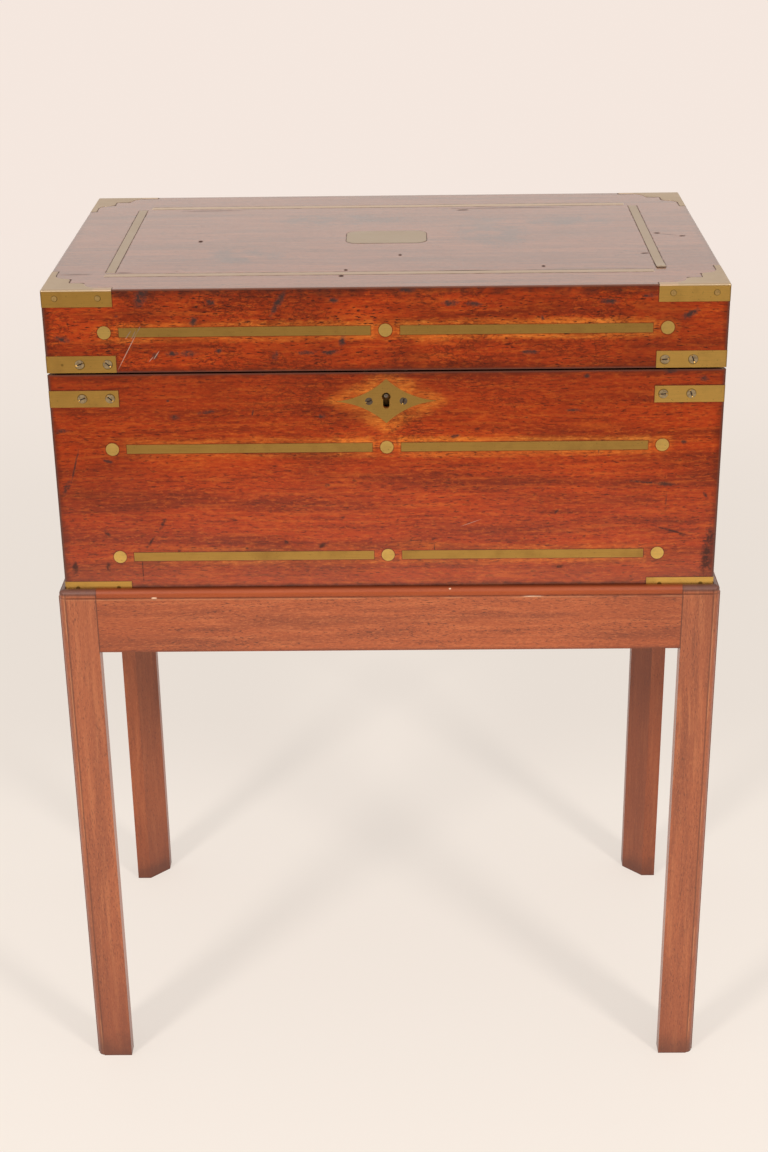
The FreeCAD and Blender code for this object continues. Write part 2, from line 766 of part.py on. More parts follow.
def hook_box(name, sign, length, width, foot, height):
    return slope_box(name, f"{sign} * hook_spread - ({length}) / 2", f"{HOOK_P} - ({width}) / 2", foot,
                     (length, width, height))


def make_link_plate():
    """Plate in the lid's rim with two hooks, and the room that the hooks need in the lock."""
    plate = slope_box("link_bar", "-link_length / 2", f"{HOOK_P} - link_width / 2", RIM,
                      ("link_length", "link_width", "link_thick"))
    hooks, eyes, rooms = [], [], []
    for side, sign in (("left", "-1"), ("right", "1")):
        hooks.append(hook_box(f"{side}_hook", sign, "hook_thick", "hook_width",
                              "-hook_reach", f"hook_reach + {RIM}"))
        eyes.append(hook_box(f"{side}_eye", sign, "2 * hook_thick", "hook_eye_width",
                             "-hook_eye_depth - hook_eye_height / 2", "hook_eye_height"))
        rooms.append(hook_box(f"{side}_hook_room", sign, "hook_thick + 2 * hook_clear",
                              "hook_width + 2 * hook_clear", "-hook_reach - hook_clear", "2 * hook_reach"))
    blank = fuse("link_plate_blank", plate, *hooks)
    return node("lock_link_plate", cut("lock_link_plate", blank, *eyes)), group("hook_rooms", rooms)


def make_keyhole():
    start = f"{LOCK_FACE} + 2 * lock_wall"
    depth = "wall + brass_thick"
    ring = rod("keyhole_round", ("0", start, KEY_HEIGHT), "keyhole_radius", depth, TURN_X_TO_FRONT)
    end_height = f"{KEY_HEIGHT} - keyhole_drop + keyhole_slot / 2"
    end = rod("keyhole_end", ("0", start, end_height), "keyhole_slot / 2", depth, TURN_X_TO_FRONT)
    slot = box("keyhole_slot", ("-keyhole_slot / 2", f"{start} - ({depth})", end_height),
               ("keyhole_slot", depth, "keyhole_drop - keyhole_slot / 2"))
    return fuse("keyhole", ring, slot, end)


def make_lock(above_split, hook_rooms, keyhole):
    rise = "lock_height + front_split"
    outside = box("lock_outside", ("-lock_width / 2", LOCK_FACE, LOCK_FOOT),
                  ("lock_width", "lock_depth", rise))
    inside = box("lock_inside",
                 ("-lock_width / 2 + lock_wall", f"{LOCK_FACE} + lock_wall", f"{LOCK_FOOT} + lock_wall"),
                 ("lock_width - 2 * lock_wall", "lock_depth - 2 * lock_wall",
                  f"{LOCK_ROOF} - {LOCK_FOOT} - lock_wall"))
    recess = cut("lock_recess", outside, above_split)
    case = node("lock_case", cut("lock_case", recess, inside, hook_rooms, keyhole))
    pin_start = f"{LOCK_FACE} + lock_depth - lock_wall"
    node("lock_drill_pin", rod("lock_drill_pin", ("0", pin_start, KEY_HEIGHT), "drill_pin",
                               f"{pin_start} + {HALF_DEPTH} - drill_pin_inset", TURN_X_TO_FRONT))
    node("lock_spring", box("lock_spring",
                            ("-lock_width / 2 + lock_wall", f"{LOCK_MIDDLE} - spring_width / 2",
                             f"{BAR_FOOT} - bolt_play - spring_thick"),
                            ("spring_length", "spring_width", "spring_thick")))

    thick = "lock_depth - 2 * lock_wall - 2 * bolt_play"
    face = f"{LOCK_FACE} + lock_wall + bolt_play"
    limbs = []
    for side, sign in (("left", "-1"), ("right", "1")):
        root = f"({sign} * hook_spread - hook_thick / 2 - bolt_start - bolt_finger_length)"
        limbs.append(rod(f"{side}_finger", (root, LOCK_MIDDLE, FINGER_HEIGHT),
                         "bolt_finger", "bolt_finger_length", TURN_Y_TO_RIGHT))
        limbs.append(box(f"{side}_post", (root, face, BAR_FOOT),
                         ("bolt_post", thick, "bolt_bar + bolt_bar_drop + bolt_finger")))
    left_end = "(-hook_spread - hook_thick / 2 - bolt_start - bolt_finger_length)"
    bar = box("bolt_bar_blank", (left_end, face, BAR_FOOT),
              ("2 * hook_spread + bolt_finger_length", thick, "bolt_bar"))
    talon = box("talon", ("-talon_width / 2", f"{LOCK_FACE} - wall", f"{BAR_FOOT} - talon_depth"),
                ("talon_width", "3 * wall", "2 * talon_depth"))
    node("lock_bolt", cut("lock_bolt", fuse("lock_bolt_blank", bar, *limbs), talon))
    return case, recess


def make_escutcheon(keyhole):
    across = "escutcheon_half_width"
    tall = "escutcheon_half_height"
    lozenge = [
        (f"-{across}", "0", "-escutcheon_sweep"),
        ("0", f"-{tall}", "-escutcheon_sweep"),
        (across, "0", "-escutcheon_sweep"),
        ("0", tall, "-escutcheon_sweep"),
    ]
    centre = "(seat_height + escutcheon_height)"
    blank = outlined("escutcheon_blank", "XZ_Plane", lozenge, "brass_thick",
                     placement("0", f"-{HALF_DEPTH} + brass_thick - brass_proud", centre))
    pattern = screw_pattern("escutcheon_screw", "escutcheon_screw_head", "escutcheon_screw_length")
    places = []
    for sign, angle in zip(("-1", "1"), SLOT_ANGLES):
        x = f"{sign} * escutcheon_screw_spread"
        places.append((placement(x, f"-{HALF_DEPTH} - brass_proud", centre, TURN_X_TO_FRONT), angle))
    holes = drive("escutcheon_screws", pattern, places)
    return node("escutcheon", cut("escutcheon", blank, keyhole, holes)), holes


# Box: mitred boards, cut along the slope into base and lid

def make_boards():
    corner = (f"-{HALF_WIDTH}", f"-{HALF_DEPTH}", "seat_height")
    outside = rounded_block("box_outside", corner, ("box_width", "box_depth", "box_height"), "edge_round")
    front = common("front_blank", outside, wedge(
        "front_mitred", "box_width", "wall", "box_height", "wall", "0", placement(*corner)))
    left = common("left_blank", outside, wedge(
        "left_mitred", "box_depth", "wall", "box_height", "wall", "0",
        placement(f"-{HALF_WIDTH}", HALF_DEPTH, "seat_height", rotation("0; 0; 1", -90))))
    top = common("top_blank", outside, wedge(
        "top_mitred", "box_width", "top_thick", "box_depth", "top_thick", "top_thick",
        placement(f"-{HALF_WIDTH}", f"-{HALF_DEPTH}", BOX_TOP, TURN_X_TO_BACK)))
    boards = {
        "front": front,
        "back": mirror("back_blank", front, ALONG),
        "left": left,
        "right": mirror("right_blank", left, ACROSS),
    }
    return boards, top


def make_box():
    span = ("-box_width", "-box_depth")
    room = ("2 * box_width", "3 * box_depth", "2 * box_height")
    above_split = slope_box("above_split", *span, f"-{RIM}", room)
    below_split = slope_box("below_split", *span, f"{RIM} - 2 * box_height", room)
    boards, top = make_boards()

    shells, brass_outside = make_corner_shells()
    lid_straps, base_straps = make_straps(shells, screw_pattern("strap_screw", "strap_screw_head"))
    brackets = make_top_brackets(shells, brass_outside)
    lid_row, base_rows, top_brass = make_inlays()
    base_hinges, lid_hinges, main_pins = make_main_hinges()
    link_plate, hook_rooms = make_link_plate()
    keyhole = make_keyhole()
    lock_case, lock_recess = make_lock(above_split, hook_rooms, keyhole)
    escutcheon, escutcheon_holes = make_escutcheon(keyhole)

    extra_base = {
        "front": (base_rows, lock_recess, keyhole, escutcheon, escutcheon_holes),
        "back": base_hinges,
    }
    extra_lid = {"front": (lid_row, link_plate), "back": lid_hinges}
    for side, blank in boards.items():
        node(f"base_{side}", cut(f"base_{side}", blank, above_split, *base_straps, *extra_base.get(side, ())))
        node(f"lid_{side}", cut(f"lid_{side}", blank, below_split, top, *lid_straps, *brackets,
                                *extra_lid.get(side, ())))
    node("lid_top", cut("lid_top", top, *brackets, *top_brass))
    node("base_bottom", box("base_bottom", (INSIDE_LEFT, WELL_FRONT, "seat_height"),
                            (INSIDE_WIDTH, "box_depth - 2 * wall", "bottom_thick")))
    make_wells(above_split)
    base_pins = make_flap("base", boards["back"])
    node("base_hinge_pins", group("base_hinge_pins", (main_pins, base_pins)))
    node("lid_flap_hinge_pins", make_flap("lid", boards["back"]))


# Wells: two ink wells and a pen bay along the lock side, above a shared floor

WELL_FRONT = f"(-{HALF_DEPTH} + wall)"
PARTITION_FRONT = f"({WELL_FRONT} + well_depth)"
PARTITION_BACK = f"({PARTITION_FRONT} + partition)"
INSIDE_LEFT = f"(-{HALF_WIDTH} + wall)"
FLOOR_TOP = "(seat_height + well_height)"
TRAY_TOP = f"({slope_z(PARTITION_FRONT, f'-{RIM}')} - tray_drop)"
BAY_LENGTH = f"({INSIDE_WIDTH} - 2 * well_width - 2 * divider)"


def make_wells(above_split):
    board = box("partition_blank", (INSIDE_LEFT, PARTITION_FRONT, "seat_height + bottom_thick"),
                (INSIDE_WIDTH, "partition", "front_split"))
    node("well_partition", cut("well_partition", board, above_split))
    node("well_floor", box("well_floor", (INSIDE_LEFT, WELL_FRONT, f"{FLOOR_TOP} - well_floor"),
                           (INSIDE_WIDTH, "well_depth", "well_floor")))
    upright = box("divider_upright", (f"{INSIDE_LEFT} + well_width", WELL_FRONT, FLOOR_TOP),
                  ("divider", "well_depth", "front_split"))
    rest = box("tray_rest", (f"-{BAY_LENGTH} / 2", WELL_FRONT, FLOOR_TOP),
               ("tray_block", "well_depth", f"{TRAY_TOP} - tray_height - {FLOOR_TOP}"))
    left = cut("divider_left", fuse("divider_blank", upright, rest), above_split)
    node("well_dividers", group("well_dividers", (left, mirror("divider_right", left, ACROSS))))

    tray_length = f"({BAY_LENGTH} - 2 * tray_play)"
    tray_width = "(well_depth - 2 * tray_play)"
    block = box("tray_blank",
                (f"-{tray_length} / 2", f"{WELL_FRONT} + tray_play", f"{TRAY_TOP} - tray_height"),
                (tray_length, tray_width, "tray_height"))
    cove = rod("tray_cove", (f"-{tray_length} / 2 + tray_end", f"{WELL_FRONT} + well_depth / 2",
                             f"{TRAY_TOP} + tray_cove - tray_cove_depth"),
               "tray_cove", f"{tray_length} - 2 * tray_end", TURN_Y_TO_RIGHT)
    node("pen_tray", cut("pen_tray", block, cove))
    make_bottles()


def make_bottles():
    """Square glass bottles with brass caps, one in each ink well."""
    centre = (f"{INSIDE_LEFT} + well_width / 2", f"{WELL_FRONT} + well_depth / 2")
    corner = [f"{place} - bottle_size / 2" for place in centre]
    shoulder = f"{FLOOR_TOP} + bottle_height"
    cube = box("bottle_cube", (*corner, FLOOR_TOP), ("bottle_size", "bottle_size", "bottle_height"))
    neck = rod("bottle_neck", (*centre, shoulder), "neck_radius", "neck_height")
    inner_size = "bottle_size - 2 * bottle_wall"
    hollow = box("bottle_hollow",
                 (*[f"{edge} + bottle_wall" for edge in corner], f"{FLOOR_TOP} + bottle_wall"),
                 (inner_size, inner_size, "bottle_height - 2 * bottle_wall"))
    bore = rod("bottle_bore", (*centre, f"{shoulder} - 2 * bottle_wall"), "neck_radius - neck_wall",
               "2 * bottle_wall + 2 * neck_height")
    bottle = cut("bottle", fuse("bottle_outside", cube, neck), hollow, bore)
    dome = rod("cap_outside", (*centre, shoulder), "cap_radius", "cap_height")
    socket = rod("cap_socket", (*centre, shoulder), "neck_radius + cap_play", "neck_height + cap_play")
    cap = cut("bottle_cap", dome, socket)
    node("ink_bottles", group("ink_bottles", (bottle, mirror("bottle_right", bottle, ACROSS))))
    node("ink_bottle_caps", group("ink_bottle_caps", (cap, mirror("cap_right", cap, ACROSS))))


# Writing flaps: leather-lined boards that lie just inside the base's and the lid's rim

RAIL_FRONT = "(wall + flap_rail)"
FLAP_START = f"({RAIL_FRONT} + flap_joint)"
FLAP_FACE = f"({RIM} + flap_drop)"
FLAP_BACK = f"({FLAP_FACE} + flap_thick)"
LEDGE_FACE = f"({FLAP_BACK} + flap_rest)"
FLAP_ENDS = {
    "base": slope_p(f"{PARTITION_BACK} + flap_joint", f"-{FLAP_BACK}"),
    "lid": slope_p(f"{WELL_FRONT} + flap_joint", FLAP_FACE),
}
LEDGE_ENDS = {
    "base": slope_p(PARTITION_BACK, f"-{LEDGE_FACE} - ledge_thick"),
    "lid": slope_p(WELL_FRONT, LEDGE_FACE),
}


def layer(part, near, thick):
    """Foot of a layer that starts near the shut line, below it in the base and above it in the lid."""
    return f"-({near}) - ({thick})" if part == "base" else near


def make_flap(part, back_board):
    axis_rise = f"-{FLAP_FACE}" if part == "base" else FLAP_FACE
    axis_turn = TURN_X_TO_FRONT if part == "base" else TURN_X_TO_BACK
    axis = placement("0", f"-({RAIL_FRONT} + flap_joint / 2)", axis_rise, axis_turn)
    lower, upper, pins, scoops = hinge_pair(f"{part}_flap_hinge", f"{SLOPE_FRAME} * {axis}", "flap_hinge",
                                            "flap_hinge_spread")
    rail_leaves, flap_leaves = (lower, upper) if part == "base" else (upper, lower)
    node(f"{part}_flap_rail_leaves", rail_leaves)
    node(f"{part}_flap_leaves", flap_leaves)

    rail = slope_box(f"{part}_rail_blank", INSIDE_LEFT, "wall / 2", layer(part, RIM, "flap_rail_thick"),
                     (INSIDE_WIDTH, f"{RAIL_FRONT} - wall / 2", "flap_rail_thick"))
    node(f"{part}_flap_rail", cut(f"{part}_flap_rail", rail, back_board, scoops, rail_leaves))

    length = f"({FLAP_ENDS[part]} - {FLAP_START})"
    blank = slope_box(f"{part}_flap_blank", f"{INSIDE_LEFT} + flap_side_gap", FLAP_START,
                      layer(part, FLAP_FACE, "flap_thick"),
                      (f"{INSIDE_WIDTH} - 2 * flap_side_gap", length, "flap_thick"))
    leather = slope_box(f"{part}_leather", f"{INSIDE_LEFT} + flap_side_gap + flap_border",
                        f"{FLAP_START} + flap_border", layer(part, FLAP_FACE, "skiver"),
                        (f"{INSIDE_WIDTH} - 2 * (flap_side_gap + flap_border)",
                         f"{length} - 2 * flap_border", "skiver"))
    node(f"{part}_flap_leather", leather)
    node(f"{part}_flap", cut(f"{part}_flap", blank, leather, scoops, flap_leaves))

    ledge = slope_box(f"{part}_ledge_left", INSIDE_LEFT, RAIL_FRONT, layer(part, LEDGE_FACE, "ledge_thick"),
                      ("ledge_width", f"{LEDGE_ENDS[part]} - {RAIL_FRONT}", "ledge_thick"))
    twin = mirror(f"{part}_ledge_right", ledge, ACROSS)
    node(f"{part}_flap_ledges", group(f"{part}_flap_ledges", (ledge, twin)))
    return pins


make_stand()
make_box()
doc.recompute()

for piece in doc.Objects:
    if {"Invalid", "Error"} & set(piece.State):
        raise RuntimeError(f"{piece.Name} failed: {piece.State}")
for name, piece in nodes.items():
    if piece.Shape.isNull() or not piece.Shape.isValid():
        raise RuntimeError(f"{name} has no valid shape")

os.makedirs("parts", exist_ok=True)
for name, piece in nodes.items():
    piece.Shape.exportStep(f"parts/{name}.step")
    print(f"{name}: {len(piece.Shape.Solids)} solid(s), {piece.Shape.Volume / 1000:.2f} cm3")
print(f"{len(nodes)} sub-parts")
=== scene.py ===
# %% [markdown]
# A brass-bound writing slope on its stand. The construction comes as a fixed frame: every board, strap
# and screw is a mesh at its real size and place, in metres, with the floor at Z = 0 and the lock side
# towards -Y. This file gives those meshes their finish, makes one sprung piece anew, and sets up light
# and camera.

# %% Load the frame
import bmesh
import bpy
import math
from functools import reduce
from mathutils import Matrix, Vector


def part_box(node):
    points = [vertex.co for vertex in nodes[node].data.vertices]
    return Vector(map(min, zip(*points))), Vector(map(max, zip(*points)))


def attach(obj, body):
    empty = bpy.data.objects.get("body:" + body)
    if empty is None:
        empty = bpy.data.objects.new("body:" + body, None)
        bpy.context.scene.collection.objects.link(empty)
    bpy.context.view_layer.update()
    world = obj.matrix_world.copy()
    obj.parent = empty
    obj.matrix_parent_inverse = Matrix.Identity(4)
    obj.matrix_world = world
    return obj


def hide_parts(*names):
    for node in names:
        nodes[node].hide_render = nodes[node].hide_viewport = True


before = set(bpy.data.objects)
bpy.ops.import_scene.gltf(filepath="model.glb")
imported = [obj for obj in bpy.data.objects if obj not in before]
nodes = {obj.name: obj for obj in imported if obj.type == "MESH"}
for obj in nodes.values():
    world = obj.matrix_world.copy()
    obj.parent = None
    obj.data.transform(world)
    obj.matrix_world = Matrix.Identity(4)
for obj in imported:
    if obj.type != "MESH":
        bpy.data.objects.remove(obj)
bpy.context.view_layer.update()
MM = 0.001

# %% [markdown]
# Sizes are in millimetres here, because marks in wood are. The shut line is where the lid meets the
# base, and it falls in a straight slope from the lock at the front to the hinges.

# %% Sizes read from the frame
def span(node):
    """Lowest and highest corner of a node, in millimetres."""
    return [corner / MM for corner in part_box(node)]


SHUT_GAP = 1.4
front_low, front_high = span("base_front")
back_low, back_high = span("base_back")
half_width = span("base_right")[1].x
half_depth = back_high.y
box_top = span("lid_top")[1].z
seat = front_low.z
lip_top = span("rail_front")[1].z
shut_front = front_high.z + SHUT_GAP / 2
shut_fall = (front_high.z - back_high.z) / (half_depth + back_low.y)
print(f"box {2 * half_width:.1f} x {2 * half_depth:.1f} mm, seat {seat:.1f}, shut line {shut_front:.1f}")

# %% [markdown]
# The camera stands where the picture was taken from. Its place, tilt and lens were worked out from the
# corners of the box, so that the edges of the render fall on the edges of the picture. Blender's
# camera looks along its own -Z, so the last quarter turn lays it down to look along +Y, and the other
# three turn it from there.

# %% Camera
CAMERA_SPOT = Vector((17.4, -1534.9, 1063.0)) * MM
TILT_DOWN = math.radians(23.754)
TURN_LEFT = math.radians(0.866)
ROLL = math.radians(-0.794)
FOCAL_PIXELS = 1932.3
FRAME_HEIGHT = 1152
SENSOR = 36

camera_data = bpy.data.cameras.new("camera")
camera_data.sensor_width = SENSOR
camera_data.lens = SENSOR * FOCAL_PIXELS / FRAME_HEIGHT
camera = bpy.data.objects.new("camera", camera_data)
turns = (Matrix.Rotation(TURN_LEFT, 4, "Z") @ Matrix.Rotation(-TILT_DOWN, 4, "X")
         @ Matrix.Rotation(-ROLL, 4, "Y") @ Matrix.Rotation(math.radians(90), 4, "X"))
camera.matrix_world = Matrix.Translation(CAMERA_SPOT) @ turns
bpy.context.scene.collection.objects.link(camera)
bpy.context.scene.camera = camera
bpy.context.scene.view_settings.view_transform = "Standard"
print(f"lens {camera_data.lens:.1f} mm")

# %% [markdown]
# Materials are node trees, and a tree is easier to read as a sum than as a drawing. Value wraps one
# socket, so that a line such as 1 - mask * 0.5 adds the Math nodes for it. Tree has one method, add,
# that makes any other node from its type, its settings and what goes into its sockets. Most masks are
# a soft step, which the Map Range node gives.

# %% Values and trees
class Value:
    """A socket of a node tree that takes part in Python's arithmetic."""

    def __init__(self, tree, socket):
        self.tree = tree
        self.socket = socket

    def math(self, operation, *others):
        sockets = dict(enumerate((self, *others)))
        return self.tree.add("ShaderNodeMath", {"operation": operation}, sockets)

    def __add__(self, other):
        return self.math("ADD", other)

    def __sub__(self, other):
        return self.math("SUBTRACT", other)

    def __rsub__(self, other):
        return (self * -1) + other

    def __mul__(self, other):
        return self.math("MULTIPLY", other)

    def __truediv__(self, other):
        return self.math("DIVIDE", other)

    def __abs__(self):
        return self.math("ABSOLUTE")

    def least(self, other):
        return self.math("MINIMUM", other)

    def most(self, other):
        return self.math("MAXIMUM", other)

    __radd__ = __add__
    __rmul__ = __mul__


class Tree:
    """A node tree, with one method that adds any node."""

    def __init__(self, node_tree):
        self.nodes = node_tree.nodes
        self.links = node_tree.links

    def plug(self, socket, value):
        if isinstance(value, Value):
            self.links.new(value.socket, socket)
        else:
            socket.default_value = value

    def add(self, kind, settings=None, sockets=None, out=0):
        """Add a node: its settings first, then numbers or links into its sockets. Gives one output."""
        node = self.nodes.new(kind)
        for name, value in (settings or {}).items():
            setattr(node, name, value)
        for name, value in (sockets or {}).items():
            self.plug(node.inputs[name], value)
        return Value(self, node.outputs[out])

    def vector(self, x, y, z):
        return self.add("ShaderNodeCombineXYZ", sockets={"X": x, "Y": y, "Z": z})

    def length(self, vector):
        return self.add("ShaderNodeVectorMath", {"operation": "LENGTH"}, {0: vector}, out="Value")

    def mix(self, share, first, second):
        """Blend two colours. The Mix node keeps its colour sockets at places 6 and 7."""
        return self.add("ShaderNodeMix", {"data_type": "RGBA"}, {0: share, 6: first, 7: second}, out=2)

    def ramp(self, value, first, last, start, end):
        """A soft step from start to end as the value goes from first to last."""
        sockets = {"Value": value, "From Min": first, "From Max": last, "To Min": start, "To Max": end}
        return self.add("ShaderNodeMapRange", {"interpolation_type": "SMOOTHSTEP"}, sockets)

    def fade_in(self, value, first, last, peak=1.0):
        """A soft step from nothing up to the peak."""
        return self.ramp(value, first, last, 0.0, peak)

    def fade_out(self, value, first, last, peak=1.0):
        """A soft step from the peak down to nothing."""
        return self.ramp(value, first, last, peak, 0.0)

    def noise(self, spot, detail):
        sockets = {"Vector": spot, "Scale": 1.0, "Detail": detail, "Roughness": 0.55}
        return self.add("ShaderNodeTexNoise", sockets=sockets)


def nearest(distances):
    """The least of several values."""
    return reduce(Value.least, distances)


def strongest(masks):
    """The greatest of several values."""
    return reduce(Value.most, masks)


def swing(noise, extent):
    """Noise from 0 to 1, turned into a swing of the given extent to both sides."""
    return noise * (2 * extent) - extent


# %% [markdown]
# Finish is one material. It starts from the spot on the object in millimetres, as x, y and z, and ends
# in one Principled shader. Its colour is built up as a painter does it: each call of paint lays a tone
# over what is there already. Marks are the dents and scratches that are placed one by one: a Mapping
# node of the texture kind moves, turns and shrinks the spot so that each mark becomes a circle of radius
# 1 about the origin.

# %% Finishes
FAR = 1e6
WOBBLE_SPOT = 2.6


class Finish(Tree):
    """One material, with the spot on the object in millimetres and the colour so far."""

    def __init__(self, name):
        self.material = bpy.data.materials.new(name)
        self.material.use_nodes = True
        super().__init__(self.material.node_tree)
        self.shader = self.nodes["Principled BSDF"]
        self.colour = None
        sockets = {"Vector": self.add("ShaderNodeTexCoord", out="Object"), "Scale": 1 / MM}
        self.spot = self.add("ShaderNodeVectorMath", {"operation": "SCALE"}, sockets)
        sockets = {"Vector": self.spot}
        self.x, self.y, self.z = (self.add("ShaderNodeSeparateXYZ", sockets=sockets, out=axis)
                                  for axis in "XYZ")

    def paint(self, mask, tone):
        """Lay a tone over the colour so far, as strongly as the mask says."""
        self.colour = self.mix(mask, self.colour, tone)

    def set(self, **inputs):
        """Fill the shader's inputs by their names, with _ for a space."""
        for name, value in inputs.items():
            self.plug(self.shader.inputs[name.replace("_", " ")], value)

    def bump(self, height, depth):
        """Relief of the given depth in millimetres, where height runs from 0 to 1."""
        sockets = {"Height": height, "Distance": depth * MM, "Strength": 1.0}
        self.set(Normal=self.add("ShaderNodeBump", sockets=sockets))

    def blotches(self, size, detail=2.0, shift=0.0):
        """Even noise with spots of about the given size."""
        spot = self.vector(self.x / size + shift, self.y / size, self.z / size)
        return self.noise(spot, detail)

    def oval(self, place, level, upright):
        """Distance from the middle of one mark, which is 1 all along its border."""
        across, up, long, broad, turn = place
        angle = math.radians(turn)
        middle, scale, spin = (across, up, level), (long, broad, FAR), (0, 0, angle)
        if upright:
            middle, scale, spin = (across, level, up), (long, FAR, broad), (0, -angle, 0)
        sockets = {"Vector": self.spot, "Location": middle, "Rotation": spin, "Scale": scale}
        return self.length(self.add("ShaderNodeMapping", {"vector_type": "TEXTURE"}, sockets))

    def marks(self, places, level, upright, ragged, core=0.55, rim=1.1):
        """1 inside marks on a face. A mark is across, up, half length, half breadth and turn."""
        wobble = swing(self.blotches(WOBBLE_SPOT), ragged)
        away = nearest(self.oval(place, level, upright) for place in places)
        return self.fade_out(away + wobble, core, rim)

    def wear(self, *names):
        """Give this finish to nodes of the frame."""
        for name in names:
            for slot in nodes[name].material_slots:
                slot.material = self.material
        print(self.material.name, "on", ", ".join(names))


# %% [markdown]
# Floor, lamps and world. Two soft lamps stand left and right of the camera, as the crossed shadows of
# the legs show. The floor is pale, and it fills the picture to the top. Far in front of the object the
# studio floor is unlit: the camera never sees that, but the polish on the front does, so the floor
# fades there for all rays but the camera's.

# %% Stage
PALE = (0.95, 0.865, 0.79, 1)
FLOOR_GLOW = (0.96, 0.885, 0.81, 1)
FAR_PALE = (0.910, 0.800, 0.733, 1)
UNLIT = (0.06, 0.054, 0.05, 1)
AMBIENT = (0.50, 0.48, 0.46, 1)
LAMP_SPOTS = {"left_lamp": (-1.42, -1.95, 1.75), "right_lamp": (1.50, -1.92, 1.75)}
LAMP_WATTS = {"left_lamp": 32, "right_lamp": 33}
LAMP_SIZE = 0.5
LAMP_AIM = Vector((0, 0, 0.45))
LAMP_TINT = (1.0, 0.97, 0.93)
FLOOR_REACH = 14.0
NEAR_GLOW = 0.58
FAR_GLOW = 1.0
NEAR_RADIUS = 600.0
FAR_RADIUS = 3000.0
LIT_RADIUS = 950.0
DARK_RADIUS = 1800.0


def ray_kinds(tree):
    """Whether a ray comes from the camera, off a shiny surface, or through a clear one."""
    kinds = ("Camera", "Glossy", "Transmission")
    return [tree.add("ShaderNodeLightPath", out=f"Is {kind} Ray") for kind in kinds]


def make_floor():
    mesh = bpy.data.meshes.new("floor")
    shape = bmesh.new()
    bmesh.ops.create_grid(shape, x_segments=1, y_segments=1, size=FLOOR_REACH)
    shape.to_mesh(mesh)
    shape.free()
    floor = bpy.data.objects.new("floor", mesh)
    bpy.context.scene.collection.objects.link(floor)
    finish = Finish("pale_floor")
    seen, mirrored, through = ray_kinds(finish)
    away = finish.length(finish.vector(finish.x, finish.y, 0.0))
    lit = finish.fade_out(away, LIT_RADIUS, DARK_RADIUS)
    tone = finish.mix(seen.most(lit), UNLIT, PALE)
    finish.set(Base_Color=tone, Roughness=1.0, Specular_IOR_Level=0.0)
    far = finish.fade_in(away, NEAR_RADIUS, FAR_RADIUS)
    glow = finish.add("ShaderNodeEmission", sockets={"Color": finish.mix(far, FLOOR_GLOW, FAR_PALE)})
    share = far * (FAR_GLOW - NEAR_GLOW) + NEAR_GLOW
    shown = seen.most(mirrored.most(through) * lit)
    lit_floor = Value(finish, finish.shader.outputs[0])
    both = finish.add("ShaderNodeMixShader", sockets={0: shown * share, 1: lit_floor, 2: glow})
    finish.plug(finish.nodes["Material Output"].inputs["Surface"], both)
    mesh.materials.append(finish.material)


def make_lamp(name):
    data = bpy.data.lights.new(name, "AREA")
    data.shape = "DISK"
    data.size = LAMP_SIZE
    data.energy = LAMP_WATTS[name]
    data.color = LAMP_TINT
    lamp = bpy.data.objects.new(name, data)
    lamp.location = LAMP_SPOTS[name]
    lamp.rotation_euler = (LAMP_AIM - lamp.location).to_track_quat("-Z", "Y").to_euler()
    lamp.visible_camera = False
    bpy.context.scene.collection.objects.link(lamp)


def make_world():
    world = bpy.data.worlds.new("studio")
    world.use_nodes = True
    bpy.context.scene.world = world
    tree = Tree(world.node_tree)
    seen, mirrored, through = ray_kinds(tree)
    colour = tree.mix(mirrored.most(through), AMBIENT, PALE)
    background = world.node_tree.nodes["Background"]
    tree.plug(background.inputs["Color"], tree.mix(seen, colour, FAR_PALE))


make_floor()
for lamp_name in LAMP_SPOTS:
    make_lamp(lamp_name)
make_world()
print("floor, world and", len(LAMP_SPOTS), "lamps")

# %% [markdown]
# Mahogany is read as layers. Clouds of darker and lighter heartwood come first, then ribbons, then
# flecks, then pores: short dark dashes that always lie along the grain. Each is the same noise, drawn
# out along the board's length, at another size: a layer is given as the length and breadth of its
# spots, its detail, and a shift that keeps it apart from the others. It shows where its noise passes
# from the first value of a pair to the second. The board's own direction decides which axis is the
# grain, so each function takes the three coordinates in the order along, across and into the board.

# %% Mahogany grain
SWAY = (190.0, 75.0, 2.0, 0.0)
CLOUDS = (190.0, 17.0, 3.0, 0.0)
RIBBONS = (60.0, 3.6, 3.0, 31.0)
FLECKS = (6.0, 1.6, 3.0, 83.0)
MOTTLE = (2.8, 1.9, 2.0, 57.0)
PORES = (5.5, 1.2, 2.0, 11.0)
PORE_CROWDS = (90.0, 8.0, 2.0, 71.0)
CLOUD_DARK = (0.42, 0.68)
RIBBON_LIGHT = (0.5, 0.72)
RIBBON_DARK = (0.48, 0.28)
FLECK_LIGHT = (0.5, 0.75)
FLECK_DARK = (0.48, 0.25)
MOTTLE_LIGHT = (0.55, 0.8)
PORE_DARK = (0.56, 0.66)
CROWD_DARK = (0.35, 0.6)


def grain_noise(finish, grain, layer, size=1.0):
    """Noise drawn out along the grain. Size makes the layer's spots smaller or larger."""
    along, across, into = grain
    length, breadth, detail, shift = layer
    length, breadth = length * size, breadth * size
    return finish.noise(finish.vector(along / length + shift, across / breadth, into / breadth), detail)


def wavy(finish, grain, sway):
    """The same coordinates, with the grain swaying to and fro by about sway millimetres."""
    along, across, into = grain
    return along, across + swing(grain_noise(finish, grain, SWAY), sway), into


